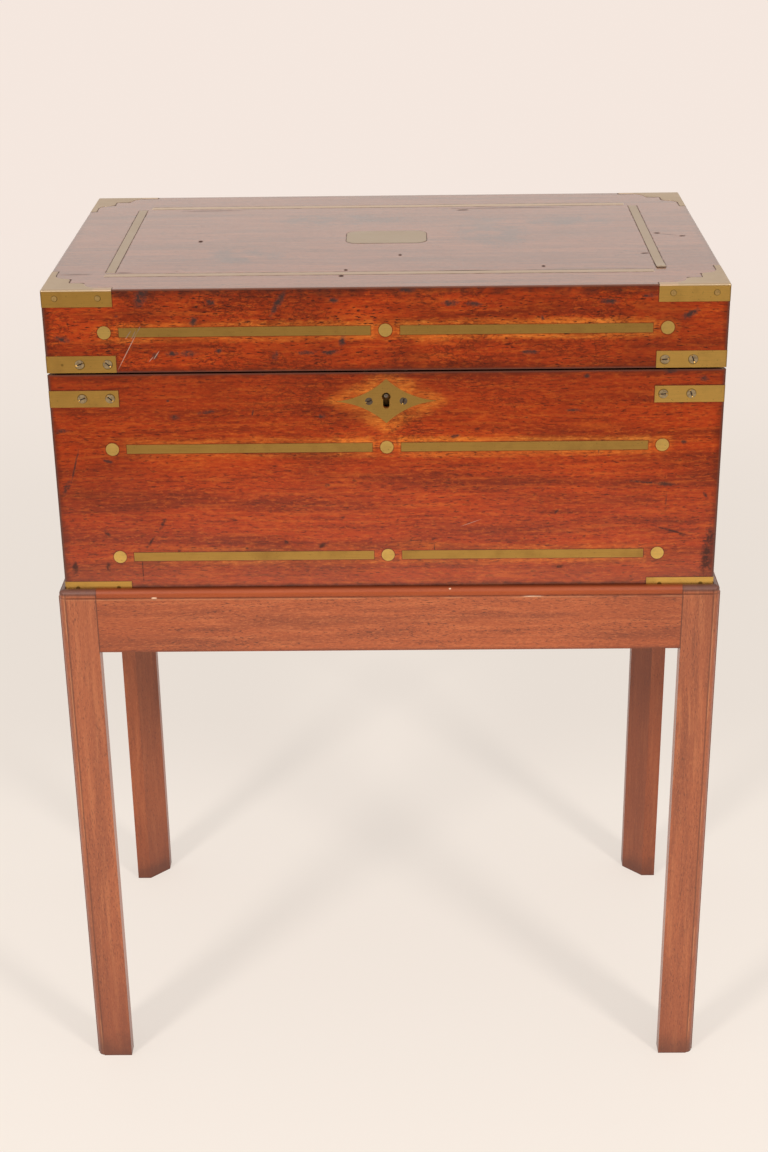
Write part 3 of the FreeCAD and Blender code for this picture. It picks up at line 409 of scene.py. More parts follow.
def mahogany(finish, grain, tones, cloud=0.55, ribbon=0.45, fleck=0.6, pore=0.8, sway=6.0, size=1.0):
    """Paint mahogany, and give its relief. Tones are the deep, middle, light and pore colours."""
    deep, middle, light, dark = tones
    grain = wavy(finish, grain, sway)
    clouds = grain_noise(finish, grain, CLOUDS)
    ribbons = grain_noise(finish, grain, RIBBONS)
    flecks = grain_noise(finish, grain, FLECKS, size)
    mottle = grain_noise(finish, grain, MOTTLE, size)
    dashes = grain_noise(finish, grain, PORES, size)
    crowds = grain_noise(finish, grain, PORE_CROWDS)

    finish.colour = middle
    finish.paint(finish.fade_in(clouds, *CLOUD_DARK, cloud), deep)
    finish.paint(finish.fade_in(ribbons, *RIBBON_LIGHT, ribbon), light)
    finish.paint(finish.fade_in(ribbons, *RIBBON_DARK, ribbon), deep)
    finish.paint(finish.fade_in(flecks, *FLECK_LIGHT, fleck), light)
    finish.paint(finish.fade_in(flecks, *FLECK_DARK, fleck), deep)
    finish.paint(finish.fade_in(mottle, *MOTTLE_LIGHT, fleck * 0.8), light)
    pores = finish.fade_in(dashes, *PORE_DARK) * finish.ramp(crowds, *CROWD_DARK, 0.4, 1.0)
    finish.paint(pores * pore, dark)
    return 0.7 + flecks * 0.3 - pores * 0.7


print(f"grain from {PORES[1]} mm pores to {CLOUDS[0]} mm clouds")

# %% [markdown]
# Old polish darkens along arrises, where hands and dirt gather. On any outer face of the box one of
# the three distances to its planes is nothing, so the middle one of the three is the distance to the
# nearest edge. The shut line counts as an edge too. Rise is the height above that line, and reach the
# way along a face from a corner. Skin tells the outside of a board from its inside, so that wear
# doesn't show through on the inner face.

# %% Edges of the box
SKIN = (1.0, 3.0)
GRIME_SPOT = 9.0


def edge_distance(finish):
    """Distance to the nearest outer edge of the box, in millimetres."""
    side = half_width - abs(finish.x)
    face = half_depth - abs(finish.y)
    roof = box_top - finish.z
    return side.least(face).most(side.most(face).least(roof))


def rise(finish):
    """Height above the sloping line where the lid meets the base."""
    return finish.z - shut_front + (finish.y + half_depth) * shut_fall


def reach(finish):
    """Distance along a side of the box from its nearest upright corner."""
    return half_width - abs(finish.x) + half_depth - abs(finish.y)


def skin(finish):
    """1 on the outer sides of the box, and 0 inside it."""
    depth = (half_width - abs(finish.x)).least(half_depth - abs(finish.y))
    return finish.fade_out(depth, *SKIN)


def grime(finish, distance, extent, ragged):
    """1 at an edge, and 0 beyond the extent, with a ragged border."""
    drift = swing(finish.blotches(GRIME_SPOT, detail=3.0), ragged)
    return finish.fade_out(distance + drift, 0.0, extent)


print(f"shut line falls {shut_fall * 2 * half_depth:.1f} mm over the box's depth")

# %% [markdown]
# Round the inlaid brass on the front, years of metal polish have thinned the stain, so a paler orange
# halo follows each strip and disc. A halo needs the distance to the nearest inlay. Strips are boxes
# and discs are circles, and the front is mirrored about its middle, so the distance is worked out for
# one half only. Each row of inlays has its height and the strength of its halo above and below. The
# seam where brass meets wood is a hair of dark wax, for which the same distances serve.

# %% Distances to the brass
STRIP_START = 11.0
STRIP_END = 198.0
STRIP_HALF = 3.5
STRAP_REACH = 52.5
STRAP_HALF = 6.4
BASE_STRAP_DROP = 12.4
strip_middle = (STRIP_START + STRIP_END) / 2
strip_reach = (STRIP_END - STRIP_START) / 2
lid_low, lid_high = span("lid_front_inlays")
base_low, base_high = span("base_front_inlays")
disc_radius = (lid_high.z - lid_low.z) / 2
disc_spread = lid_high.x - disc_radius
lid_rows = ((lid_high.z - disc_radius, 0.85, 0.75),)
base_rows = ((base_high.z - disc_radius, 0.95, 0.50), (base_low.z + disc_radius, 0.25, 0.45))
lock_height = sum(corner.z for corner in span("escutcheon")) / 2
lock_reach = span("escutcheon")[1].x
lid_strap_rise = SHUT_GAP / 2 + STRAP_HALF
base_strap_rise = -(SHUT_GAP / 2 + BASE_STRAP_DROP + STRAP_HALF)


def box_distance(finish, x, y, half_x, half_y):
    """Distance from a point to an upright box about the origin."""
    return finish.length(finish.vector((abs(x) - half_x).most(0.0), (abs(y) - half_y).most(0.0), 0.0))


def disc_side(finish):
    """Distance from the middle of a strip, which is greater on the discs at its ends."""
    return abs(abs(finish.x) - strip_middle)


def row_distance(finish, height):
    """Distance to one row of strips and discs on the front."""
    out = abs(finish.x)
    up = finish.z - height
    strip = box_distance(finish, disc_side(finish), up, strip_reach, STRIP_HALF)
    outer_disc = finish.length(finish.vector(out - disc_spread, up, 0.0))
    middle_disc = finish.length(finish.vector(out, up, 0.0))
    return strip.least(outer_disc.least(middle_disc) - disc_radius)


def strap_distance(finish):
    """Distance to the straps at the shut line and to the brass at the top and bottom corners."""
    along = reach(finish)
    heights = (rise(finish) - lid_strap_rise, rise(finish) - base_strap_rise,
               finish.z - box_top + STRAP_HALF, finish.z - seat - STRAP_HALF)
    return nearest(box_distance(finish, along, height, STRAP_REACH, STRAP_HALF) for height in heights)


print(f"discs of {2 * disc_radius:.1f} mm, lock at {lock_height:.1f} mm")

# %% [markdown]
# The front is the face that everyone sees, so its knocks are placed one by one: each is an oval with a
# place on the front (across, and height above the seat), a half length and half breadth, and a turn.
# Small ones come by chance, from cells of a Voronoi pattern of which only some are picked.

# %% Marks on the front
DENT_STRETCH = 1.6
PICKED = (0.5, 0.55)
front_knocks = (
    (-180, 241, 7.0, 4.0, 60), (-129, 237, 3.0, 2.0, 0), (-79, 236, 10.0, 2.2, 60),
    (-142, 223, 3.4, 2.2, 60), (-240, 210, 5.5, 1.9, -12), (-147, 198, 6.0, 2.1, 0),
    (-159, 198, 4.5, 1.7, 0), (-124, 200, 2.4, 1.8, 0), (-82, 196, 3.4, 2.2, 80),
    (-32, 207, 4.2, 2.2, 75), (-38, 238, 3.2, 1.9, 0), (-41, 198, 6.0, 1.7, 4), (48, 235, 5.5, 2.0, 0),
    (66, 234, 5.0, 1.8, -8), (165, 235, 6.0, 1.9, -5), (225, 225, 6.5, 2.3, 25),
    (-59, 198, 7.0, 1.4, 0), (-172, 197, 2.6, 1.7, 60), (16, 245, 5.5, 1.5, 0), (107, 197, 6.5, 1.5, 0),
    (195, 239, 5.0, 1.4, 0), (116, 223, 1.5, 1.5, 0), (213, 181, 4.5, 1.6, 0), (150, 178, 2.2, 1.5, 0),
    (-135, 152, 6.0, 1.3, 6), (-101, 151, 2.6, 0.6, 80), (-160, 148, 3.2, 2.0, 0),
    (-49, 148, 2.6, 1.6, 0), (-246, 138, 4.5, 1.4, -6), (-213, 113, 4.0, 1.2, -10),
    (-239, 108, 15.0, 0.7, 74), (-246, 92, 6.0, 1.8, 66), (-46, 92, 2.2, 1.4, 30),
    (-35, 66, 2.0, 1.4, 0), (-174, 61, 5.0, 1.4, 62), (-218, 54, 4.2, 1.6, -50),
    (-185, 45, 5.0, 1.1, 55), (-51, 42, 3.4, 2.0, 10), (-192, 23, 9.0, 0.5, 90),
    (-245, 25, 5.0, 2.2, 88), (-219, 25, 3.4, 1.8, 84), (52, 131, 3.4, 1.3, 10),
    (161, 118, 2.6, 0.5, 90), (225, 125, 2.2, 1.7, 0), (201, 92, 16.0, 0.8, -6),
    (212, 91, 6.0, 1.8, -4), (214, 79, 4.5, 0.5, 88), (130, 69, 2.6, 0.9, 55),
    (220, 52, 14.0, 0.9, -16), (228, 49, 4.0, 1.4, -20), (244, 81, 3.0, 1.2, -60),
    (249, 45, 10.0, 3.0, 88), (132, 23, 4.6, 1.8, 0), (36, 40, 3.4, 0.4, 90), (238, 175, 3.0, 2.0, -20),
    (247, 28, 18.0, 4.0, 88), (141, 151, 6.0, 1.0, 0), (-79, 45, 2.0, 1.4, 0),
)
front_scratches = (
    (-192, 201, 20.0, 0.35, 61), (-191, 213, 4.5, 0.4, 55), (-187, 213, 4.0, 0.4, 62),
    (-183, 217, 3.0, 0.3, 60), (-171, 197, 4.5, 0.4, 55), (-175, 194, 3.0, 0.3, 48),
    (64, 60, 9.0, 0.25, 20),
)


def raised(places, height):
    """Marks above a given height, with their heights counted from the floor."""
    return [(across, up + height, *shape) for across, up, *shape in places]


def on_board(places, is_lid):
    """The marks of the front that lie on the lid or on the base."""
    return [place for place in raised(places, seat) if (place[1] > shut_front) == is_lid]


def chance_knocks(finish, grain, cell, size):
    """Small dents strewn by chance, a little longer than they are broad."""
    along, across, into = grain
    spot = finish.vector(along / (DENT_STRETCH * cell), across / cell, into / cell)
    sockets = {"Vector": spot, "Scale": 1.0, "Randomness": 1.0}
    away = finish.add("ShaderNodeTexVoronoi", sockets=sockets, out="Distance")
    colour = finish.add("ShaderNodeTexVoronoi", sockets=sockets, out="Color")
    pick = finish.add("ShaderNodeSeparateColor", sockets={"Color": colour})
    ragged = finish.blotches(2.2) * 0.06
    return finish.fade_out(away + ragged, size * 0.6, size * 1.3) * finish.fade_in(pick, *PICKED)


print(len(front_knocks), "knocks and", len(front_scratches), "scratches on the front")

# %% [markdown]
# Varnish is the shader's coat, a clear layer with its own even gloss. It is gone where the wood is
# bare. Two things lie under it on the front: the halos, which are ragged and strongest between the
# discs, and crazing, the fine dark cracks of old varnish, which are the lines where a noise passes its
# middle value.

# %% Varnish, halos and cracks
HALO_REACH = (1.5, 6.5)
HALO_TURN = 2.0
HALO_SPOT = 4.5
HALO_ENDS = (88.0, 104.0)
HALO_SLANT = 0.0006
LOCK_MARGIN = 4.0
LOCK_RISE = 23.0
CRACKS = (7.0, 3.2, 3.0, 17.0)


def varnish(finish, relief, bare, gloss=0.36, coat=0.52, depth=0.05):
    """Old varnish: a clear coat with a slightly uneven sheen, and none where the wood is bare."""
    uneven = finish.blotches(24.0, detail=3.0, shift=9.0)
    finish.set(Base_Color=finish.colour, Roughness=uneven * 0.16 + gloss + bare * 0.5)
    finish.set(Coat_Weight=(uneven * 0.3 + coat) * (1 - bare), Coat_Roughness=0.07)
    finish.set(Specular_IOR_Level=0.15, Coat_IOR=1.5)
    finish.bump(relief, depth)


def inlay_halo(finish, rows, distances):
    """How far the stain is rubbed away round the strips of the front."""
    drift = swing(finish.blotches(HALO_SPOT, detail=4.0), 3.0)
    patches = finish.blotches(55.0, detail=2.0, shift=5.0) + finish.x * HALO_SLANT
    patches = finish.ramp(patches, 0.34, 0.58, 0.5, 1.0)
    between = finish.ramp(disc_side(finish), *HALO_ENDS, 1.0, 0.3)
    halos = []
    for (height, over, under), away in zip(rows, distances):
        share = finish.ramp(finish.z - height, -HALO_TURN, HALO_TURN, under, over)
        halos.append(finish.fade_out(away + drift, *HALO_REACH) * share)
    return strongest(halos) * patches * between


def lock_halo(finish):
    """How far the stain is rubbed away round the lock's plate, which is about a lozenge."""
    drift = swing(finish.blotches(HALO_SPOT, detail=4.0), 0.15)
    lozenge = abs(finish.x) / (lock_reach + LOCK_MARGIN) + abs(finish.z - lock_height) / LOCK_RISE
    rubs = finish.ramp(finish.blotches(15.0, detail=3.0, shift=15.0), 0.4, 0.58, 0.45, 0.9)
    return finish.fade_out(lozenge + drift, 0.85, 1.35) * rubs


def crazing(finish, grain):
    """Fine dark cracks in the varnish, in patches."""
    cracks = abs(grain_noise(finish, grain, CRACKS) - 0.5)
    patches = finish.fade_in(finish.blotches(48.0, detail=2.0, shift=13.0), 0.44, 0.58)
    return finish.fade_out(cracks, 0.01, 0.07) * patches


print(f"halos reach {HALO_REACH[1]} mm out from the brass")

# %% [markdown]
# The front boards put it together: mahogany, halos, grime at the edges, wax in the seams, a worn top
# arris with a painted highlight, knocks, scratches and the varnish over it all. Lid and base take the
# same steps but aged differently: the lid is cracked all over and dirty along its top, and the base is
# cracked round the lock, darker towards the top and the left, and paler and greyer at its foot, where
# dirt and painted contact shade darken it just above the lip. They are two materials, because one with
# all the marks is more than Cycles can hold. A line of wax or wear is given by the distances where it
# starts and ends to fade, and by its strength.

# %% Front boards
BOX_DEEP = (0.095, 0.012, 0.003, 1)
BOX_MIDDLE = (0.385, 0.040, 0.0045, 1)
BOX_LIGHT = (0.55, 0.110, 0.013, 1)
BOX_PORE = (0.020, 0.005, 0.003, 1)
RUBBED = (0.68, 0.165, 0.018, 1)
RUBBED_LIGHT = (0.90, 0.32, 0.050, 1)
GRIME_AND_SHADE = (0.045, 0.011, 0.006, 1)
BRUISE = (0.038, 0.023, 0.020, 1)
SCRATCH = (0.50, 0.36, 0.28, 1)
ARRIS_WEAR_AND_HIGHLIGHT = (0.14, 0.062, 0.038, 1)
RIM = (0.11, 0.042, 0.028, 1)
UNDYED = (0.17, 0.045, 0.016, 1)
PALER_FOOT_TONE = (0.36, 0.145, 0.077, 1)
LID_PORES = 0.9
BASE_PORES = 0.65
LID_BRUISES = 0.95
BASE_BRUISES = 0.85
LID_CRACKS = 0.5
PALER_FOOT_HEIGHT = 35.0
SHADE_HEIGHT = 60.0
SHADE_SIDE = -60.0
SEAM_WAX = (0.1, 1.0, 0.6)
EDGE_WAX = (0.8, 2.6, 0.85)
ARRIS_WEAR_AND_HIGHLIGHT_LINE = (0.3, 1.6, 0.8)


def along_front(finish):
    """Coordinates of an upright board whose grain lies along X."""
    return finish.x, finish.z, finish.y


def lid_age(finish):
    """How far the lid's front is cracked, shaded and dirty."""
    shade = finish.ramp(finish.blotches(60.0, detail=3.0, shift=27.0), 0.4, 0.65, 0.05, 0.42)
    dirt = grime(finish, box_top - finish.z, extent=9.0, ragged=10.0) * 0.65
    return LID_CRACKS, shade, dirt


def base_age(finish):
    """The same for the front of the base. Its paler foot is painted at once."""
    to_lock = abs(finish.x) + abs(finish.z - lock_height) * 2.0
    cracked = finish.ramp(to_lock, 60.0, 150.0, 0.45, 0.14)
    shade = finish.fade_in(rise(finish), -SHADE_HEIGHT, 0.0, 0.28)
    shade = shade + finish.fade_out(finish.x, -half_width, SHADE_SIDE, 0.12)
    height = finish.z - lip_top
    # The base's front is painted paler and greyer towards its foot.
    finish.paint(finish.fade_out(height, 0.0, PALER_FOOT_HEIGHT, 0.16), PALER_FOOT_TONE)
    # The dark band at the foot is dirt together with a painted contact shade where the box stands on the
    # lip.
    return cracked, shade, grime(finish, height, extent=4.0, ragged=2.0) * 0.8


def wax_lines(finish, seams, edge, outer):
    """Dark wax in the seams round the brass, and dirt on the edges of a board."""
    finish.paint(finish.fade_out(seams, *SEAM_WAX) * outer, BOX_PORE)
    finish.paint(finish.fade_out(edge, *EDGE_WAX) * outer, RIM)


def front_wood(name, rows, is_lid):
    finish = Finish(name)
    grain = along_front(finish)
    outer = skin(finish)
    distances = [row_distance(finish, height) for height, _, _ in rows]
    halo = inlay_halo(finish, rows, distances)
    if not is_lid:
        halo = halo.most(lock_halo(finish))
    middle = finish.mix(halo * outer, BOX_MIDDLE, RUBBED)
    light = finish.mix(halo * outer, BOX_LIGHT, RUBBED_LIGHT)
    tones = (BOX_DEEP, middle, light, BOX_PORE)
    relief = mahogany(finish, grain, tones, fleck=0.55, pore=LID_PORES if is_lid else BASE_PORES)
    shade = finish.fade_in(finish.blotches(110.0, detail=2.0, shift=21.0), 0.5, 0.72, 0.25)
    edge = (half_width - abs(finish.x)).least(abs(rise(finish)))
    cracked, darker, dirt = lid_age(finish) if is_lid else base_age(finish)
    finish.paint(crazing(finish, grain) * cracked, BOX_PORE)
    finish.paint((shade + darker).most(grime(finish, edge, extent=9.0, ragged=6.0) * 0.75), BOX_DEEP)
    # Dirt along the lid's top; on the base, dirt with a painted contact shade just above the lip.
    finish.paint(dirt, GRIME_AND_SHADE)
    finish.paint((1 - outer) * 0.8, UNDYED)
    wax_lines(finish, nearest((strap_distance(finish), *distances)), edge, outer)
    # A worn line along the top arris, where the varnish is gone, whose grey tone is also a painted
    # highlight.
    arris = finish.fade_out(box_top - finish.z, *ARRIS_WEAR_AND_HIGHLIGHT_LINE)
    finish.paint(arris, ARRIS_WEAR_AND_HIGHLIGHT)
    specks = chance_knocks(finish, grain, cell=17.0, size=0.08)
    broken = finish.ramp(finish.blotches(3.4, detail=3.0, shift=4.0), 0.3, 0.55, 0.35, 1.0) * outer
    places = on_board(front_knocks, is_lid)
    placed = finish.marks(places, -half_depth, upright=True, ragged=0.8, core=0.3, rim=1.5)
    knocks = placed.most(specks) * broken
    finish.paint(knocks * (LID_BRUISES if is_lid else BASE_BRUISES), BRUISE)
    scratches = finish.marks(on_board(front_scratches, is_lid), -half_depth, upright=True, ragged=0.1)
    finish.paint(scratches * outer * 0.6, SCRATCH)
    varnish(finish, relief - specks * 0.6, knocks.most(arris))
    return finish


front_wood("base_front_mahogany", base_rows, is_lid=False).wear("base_front")
front_wood("lid_front_mahogany", lid_rows, is_lid=True).wear("lid_front")

# %% [markdown]
# The sides and the back are plainer boards of the same timber, with no inlay. Their grain runs along
# the board, so it turns from X to Y at the corners. They are a little darker, because nobody polishes
# the back.

# %% Sides and back
BOX_TONES = (BOX_DEEP, BOX_MIDDLE, BOX_LIGHT, BOX_PORE)


def along_side(finish):
    """Coordinates of an upright board whose grain lies along Y."""
    return finish.y, finish.z, finish.x


def plain_wood(name, grain_of):
    finish = Finish(name)
    grain = grain_of(finish)
    edge = edge_distance(finish).least(abs(rise(finish)))
    outer = skin(finish)
    relief = mahogany(finish, grain, BOX_TONES, cloud=0.7)
    finish.paint(grime(finish, edge, extent=11.0, ragged=6.0) * 0.75, BOX_DEEP)
    finish.paint((1 - outer) * 0.8, UNDYED)
    wax_lines(finish, strap_distance(finish), edge, outer)
    knocks = chance_knocks(finish, grain, cell=15.0, size=0.09) * outer
    finish.paint(knocks * 0.8, BRUISE)
    varnish(finish, relief - knocks * 0.6, knocks)
    return finish


plain_wood("side_mahogany", along_side).wear("base_left", "base_right", "lid_left", "lid_right")
plain_wood("back_mahogany", along_front).wear("base_back", "lid_back")

# %% [markdown]
# The lid's top has been leaned on for two centuries: the colour is washed out, ink has soaked in, and
# a shrinkage crack runs along the front. Thin dark lines mark where the brass is let in, wider round
# the strips that run across. The corner plates' outline is two boxes on each side of the diagonal, so
# the larger and the smaller distance from the corner describe it. Strip ends are counted from the
# front face or from the middle.

# %% Top of the lid
TOP_DEEP = (0.110, 0.036, 0.022, 1)
TOP_MIDDLE = (0.265, 0.082, 0.040, 1)
TOP_LIGHT = (0.40, 0.140, 0.066, 1)
TOP_PORE = (0.040, 0.016, 0.012, 1)
TOP_TONES = (TOP_DEEP, TOP_MIDDLE, TOP_LIGHT, TOP_PORE)
INK = (0.045, 0.040, 0.048, 1)
ink_stains = ((84, 16, 34, 58, 8), (-118, -56, 44, 26, 0), (150, 48, 40, 22, 0), (-40, 60, 60, 20, 0))
top_dents = (
    (-149, -9, 2.0, 3.8, 0), (-30, -102, 1.7, 3.0, 0), (-33, -119, 2.2, 3.2, 0), (11, -58, 1.6, 2.8, 0),
    (218, 4, 3.0, 2.3, -6), (237, -6, 2.8, 1.9, 12), (-234, -108, 15.0, 0.8, 1),
    (-198, -104, 7.0, 0.9, -2), (120, -96, 1.6, 3.0, 0), (64, 92, 6.0, 2.0, 4),
    (150, -108, 52.0, 1.5, 0), (60, -107, 26.0, 1.2, 0), (201, -60, 3.8, 1.8, 8),
    (-150, 98, 30.0, 0.9, 0), (100, 98, 60.0, 0.9, 0), (227, -1, 9.0, 0.4, -27),
)
CORNER_ARM = (52.6, 5.5)
CORNER_LOBE = (29.5, 18.3)
PLATE_CORNER = 9.0
TOP_STRIP = 7.0
SIDE_STRIP_ENDS = (48.0, 253.0)
FRONT_STRIP_ENDS = (-212.0, 202.0)
BACK_STRIP_ENDS = (-202.0, 202.0)
WIDE_SEAM = 1.7
TOP_WAX = (0.1, 1.1, 0.85)
strip_low, strip_high = span("lid_top_strips")
plate_high = span("name_plate")[1]
side_strip = strip_high.x - TOP_STRIP / 2
side_start, side_end = (value - half_depth for value in SIDE_STRIP_ENDS)
front_strip = (strip_low.y + TOP_STRIP / 2, FRONT_STRIP_ENDS)
back_strip = (strip_high.y - TOP_STRIP / 2, BACK_STRIP_ENDS)
cross_strips = (front_strip, back_strip)


def along_lid(finish):
    """Coordinates of a flat piece whose grain lies along X."""
    return finish.x, finish.y, finish.z


def top_strip_distance(finish):
    """Distance to the strips let into the lid's top, as the dark line round them shows it."""
    along = finish.y - (side_start + side_end) / 2
    half = (side_end - side_start) / 2
    away = box_distance(finish, abs(finish.x) - side_strip, along, TOP_STRIP / 2, half)
    for place, (left, right) in cross_strips:
        half = (right - left) / 2 - WIDE_SEAM
        along = finish.x - (left + right) / 2
        strip = box_distance(finish, along, finish.y - place, half, TOP_STRIP / 2)
        away = away.least(strip / WIDE_SEAM)
    return away


def top_plate_distance(finish):
    """Distance to the name plate and to the corner plates."""
    out = abs(finish.x)
    plate = box_distance(finish, out, finish.y, plate_high.x - PLATE_CORNER, plate_high.y - PLATE_CORNER)
    side = half_width - out
    face = half_depth - abs(finish.y)
    long, short = side.most(face), side.least(face)
    arm = box_distance(finish, long, short, *CORNER_ARM)
    lobe = box_distance(finish, long, short, *CORNER_LOBE)
    return nearest((plate - PLATE_CORNER, arm, lobe))


def top_wood():
    finish = Finish("top_mahogany")
    grain = along_lid(finish)
    relief = mahogany(finish, grain, TOP_TONES, cloud=0.6, fleck=0.3, pore=0.5, sway=12.0)
    upper = finish.fade_out(box_top - finish.z, *SKIN)
    patches = finish.fade_in(finish.blotches(22.0, detail=3.0, shift=3.0), 0.35, 0.6)
    stains = finish.marks(ink_stains, box_top, upright=False, ragged=0.6) * patches
    finish.paint(stains * upper * 0.55, INK)
    finish.paint((1 - upper) * 0.8, UNDYED)
    finish.paint(grime(finish, edge_distance(finish), extent=7.0, ragged=5.0) * 0.6, TOP_DEEP)
    drift = swing(finish.blotches(6.0, detail=3.0), 0.7)
    to_brass = top_strip_distance(finish).least(top_plate_distance(finish))
    seams = finish.fade_out(to_brass + drift, *TOP_WAX) * upper
    finish.paint(seams, BOX_PORE)
    specks = chance_knocks(finish, grain, cell=24.0, size=0.05)
    dents = finish.marks(top_dents, box_top, upright=False, ragged=0.3).most(specks) * upper
    finish.paint(dents * 0.85, BRUISE)
    varnish(finish, relief - specks * 0.8, dents.most(seams), gloss=0.34, coat=0.90, depth=0.04)
    return finish


top_wood().wear("lid_top")

# %% [markdown]
# The stand is a later piece in paler, browner mahogany with a satin polish. A bead, a rounded edge
# with a groove beside it, runs along the top of the rails and down the corners of the legs. The groove
# is darkened by dirt and painted shade, and the edge next to it is rubbed pale in places and carries a
# painted highlight, so both are painted from the distance to the groove's middle. Where the box stands
# in the rebate, the inner edge of the lip is dirty and carries a painted shadow of the box.

# %% Polish and beads of the stand
STAND_DEEP = (0.20, 0.046, 0.019, 1)
STAND_PORE = (0.075, 0.022, 0.013, 1)
STAND_WEAR_AND_HIGHLIGHT = (0.66, 0.30, 0.14, 1)
JOINT_REACH = 30.0
JOINT_LINE = (0.1, 0.9, 0.7)
BEAD_HEIGHT = 6.8
QUIRK_DIRT_AND_SHADE_LINE = (0.2, 1.1, 0.45)
QUIRK_WEAR_AND_HIGHLIGHT_EDGE = (0.2, 0.8, 0.35)
QUIRK_HALF = 1.1
LIP_DIRT_AND_SHADE_START = 1.2
LIP_DIRT_AND_SHADE_END = 4.3
rail_foot = span("rail_front")[0].z
stand_face = -span("rail_front")[0].y
stand_side = -span("rail_left")[0].x
joint_x = stand_side - JOINT_REACH
joint_y = stand_face - JOINT_REACH
bead_foot = lip_top - BEAD_HEIGHT


def stand_polish(finish, relief, coat, matt):
    """A satin polish, with none of its coat where the wood is matt."""
    uneven = finish.blotches(30.0, detail=3.0, shift=4.0)
    finish.set(Base_Color=finish.colour, Roughness=uneven * 0.18 + 0.33)
    finish.set(Coat_Weight=(uneven * 0.2 + coat) * (1 - matt), Coat_Roughness=0.18)
    finish.set(IOR=1.45, Coat_IOR=1.5)
    finish.bump(relief, 0.05)


def inward(finish):
    """Distance inwards from the outer faces of the stand."""
    return (stand_side - abs(finish.x)).least(stand_face - abs(finish.y))


def lip_dirt_and_shade(finish):
    """Dirt and a painted shadow of the box along the inner edge of the lip, where the box stands in the
    rebate.
    """
    lip = finish.fade_in(inward(finish), LIP_DIRT_AND_SHADE_START, LIP_DIRT_AND_SHADE_END, 0.9)
    return lip * finish.fade_in(finish.z, seat - 0.5, seat)


def quirk_lines(finish, away):
    """A groove's dirt and painted shade, and its edge's wear and painted highlight, from the distance to
    its middle.
    """
    patchy = finish.ramp(finish.blotches(28.0, detail=2.0, shift=8.0), 0.42, 0.6, 0.1, 1.0)
    groove = finish.fade_out(abs(away), *QUIRK_DIRT_AND_SHADE_LINE)
    worn = finish.fade_out(abs(away + QUIRK_HALF), *QUIRK_WEAR_AND_HIGHLIGHT_EDGE) * patchy
    return groove, worn


print(f"stand {2 * stand_side:.1f} x {2 * stand_face:.1f} mm, rail {rail_foot:.1f} to {lip_top:.1f}")

# %% [markdown]
# The rails have the grain lying. Their bead is redder than the rest, has lost its polish, and at the
# front a few chips too. The ends are darker than the middle, and a dark line shows where rail and leg
# meet.

# %% Rails
STAND_MIDDLE = (0.41, 0.093, 0.030, 1)
STAND_LIGHT = (0.59, 0.170, 0.058, 1)
STAND_TONES = (STAND_DEEP, STAND_MIDDLE, STAND_LIGHT, STAND_PORE)
BEAD_TONE = (0.35, 0.060, 0.009, 1)
LIP_DIRT_AND_SHADE = (0.14, 0.022, 0.004, 1)
CHIP = (0.80, 0.55, 0.38, 1)
RAIL_EDGE = (2.5, 4.5)
RAIL_DIRT = (0.0, 3.0, 0.5)
bead_chips = (
    (-184, 0.2, 2.4, 0.6, 0), (48, 5.6, 1.0, 0.5, 0), (112, -0.4, 9.0, 0.35, 0),
    (-240, 5.0, 1.4, 0.7, 0),
)


def rail_wood(name, grain_of, joint, chips=()):
    finish = Finish(name)
    grain = grain_of(finish)
    along = abs(grain[0])
    relief = mahogany(finish, grain, STAND_TONES, cloud=0.6, ribbon=0.5, size=0.6)
    bead = finish.fade_in(finish.z, bead_foot, bead_foot + 1.0, 0.75)
    finish.paint(bead, BEAD_TONE)
    finish.paint(finish.fade_in(along / joint, 0.55, 1.0, 0.22), STAND_DEEP)
    groove, worn = quirk_lines(finish, finish.z - bead_foot)
    foot = finish.fade_out(finish.z - rail_foot, *RAIL_DIRT)
    seam = finish.fade_out(abs(along - joint), *JOINT_LINE)
    outer = finish.fade_out(inward(finish), *RAIL_EDGE)
    # The groove's edge is painted pale for wear and a painted highlight, the groove dark for dirt and
    # painted shade.
    finish.paint(worn * outer, STAND_WEAR_AND_HIGHLIGHT)
    finish.paint(strongest((foot, seam, groove * outer)), STAND_PORE)
    # Dirt and a painted shadow of the box on the inner edge of the lip.
    finish.paint(lip_dirt_and_shade(finish), LIP_DIRT_AND_SHADE)
    if chips:
        chipped = finish.marks(raised(chips, bead_foot), -stand_face, upright=True, ragged=0.4)
        finish.paint(chipped * outer, CHIP)
    stand_polish(finish, relief, coat=0.1, matt=bead)
    return finish


rail_wood("front_rail_mahogany", along_front, joint_x, bead_chips).wear("rail_front")
rail_wood("back_rail_mahogany", along_front, joint_x).wear("rail_back")
rail_wood("side_rail_mahogany", along_side, joint_y).wear("rail_left", "rail_right")

# %% [markdown]
# The legs have the grain standing. Their tops are end grain, which drinks stain and turns dark, and
# their feet are scuffed and darkened by painted shade, more so at the left. The back legs have lost most
# of their polish and are darkened all over by painted shade, as less light reaches them under the box,
# the right one more than the left.

# %% Legs
LEG_TONES = ((0.20, 0.052, 0.022, 1), (0.38, 0.100, 0.036, 1), (0.54, 0.178, 0.066, 1), STAND_PORE)
END_GRAIN = (0.085, 0.034, 0.026, 1)
CORNER_BEAD = 6.0
LEG_EDGE = (0.9, 1.3)
FOOT_SHADE = (10.0, 130.0)
FOOT_SCUFF = (12.0, 40.0, 0.6)
FOOT_SOLE = (0.6, 1.8, 0.8)


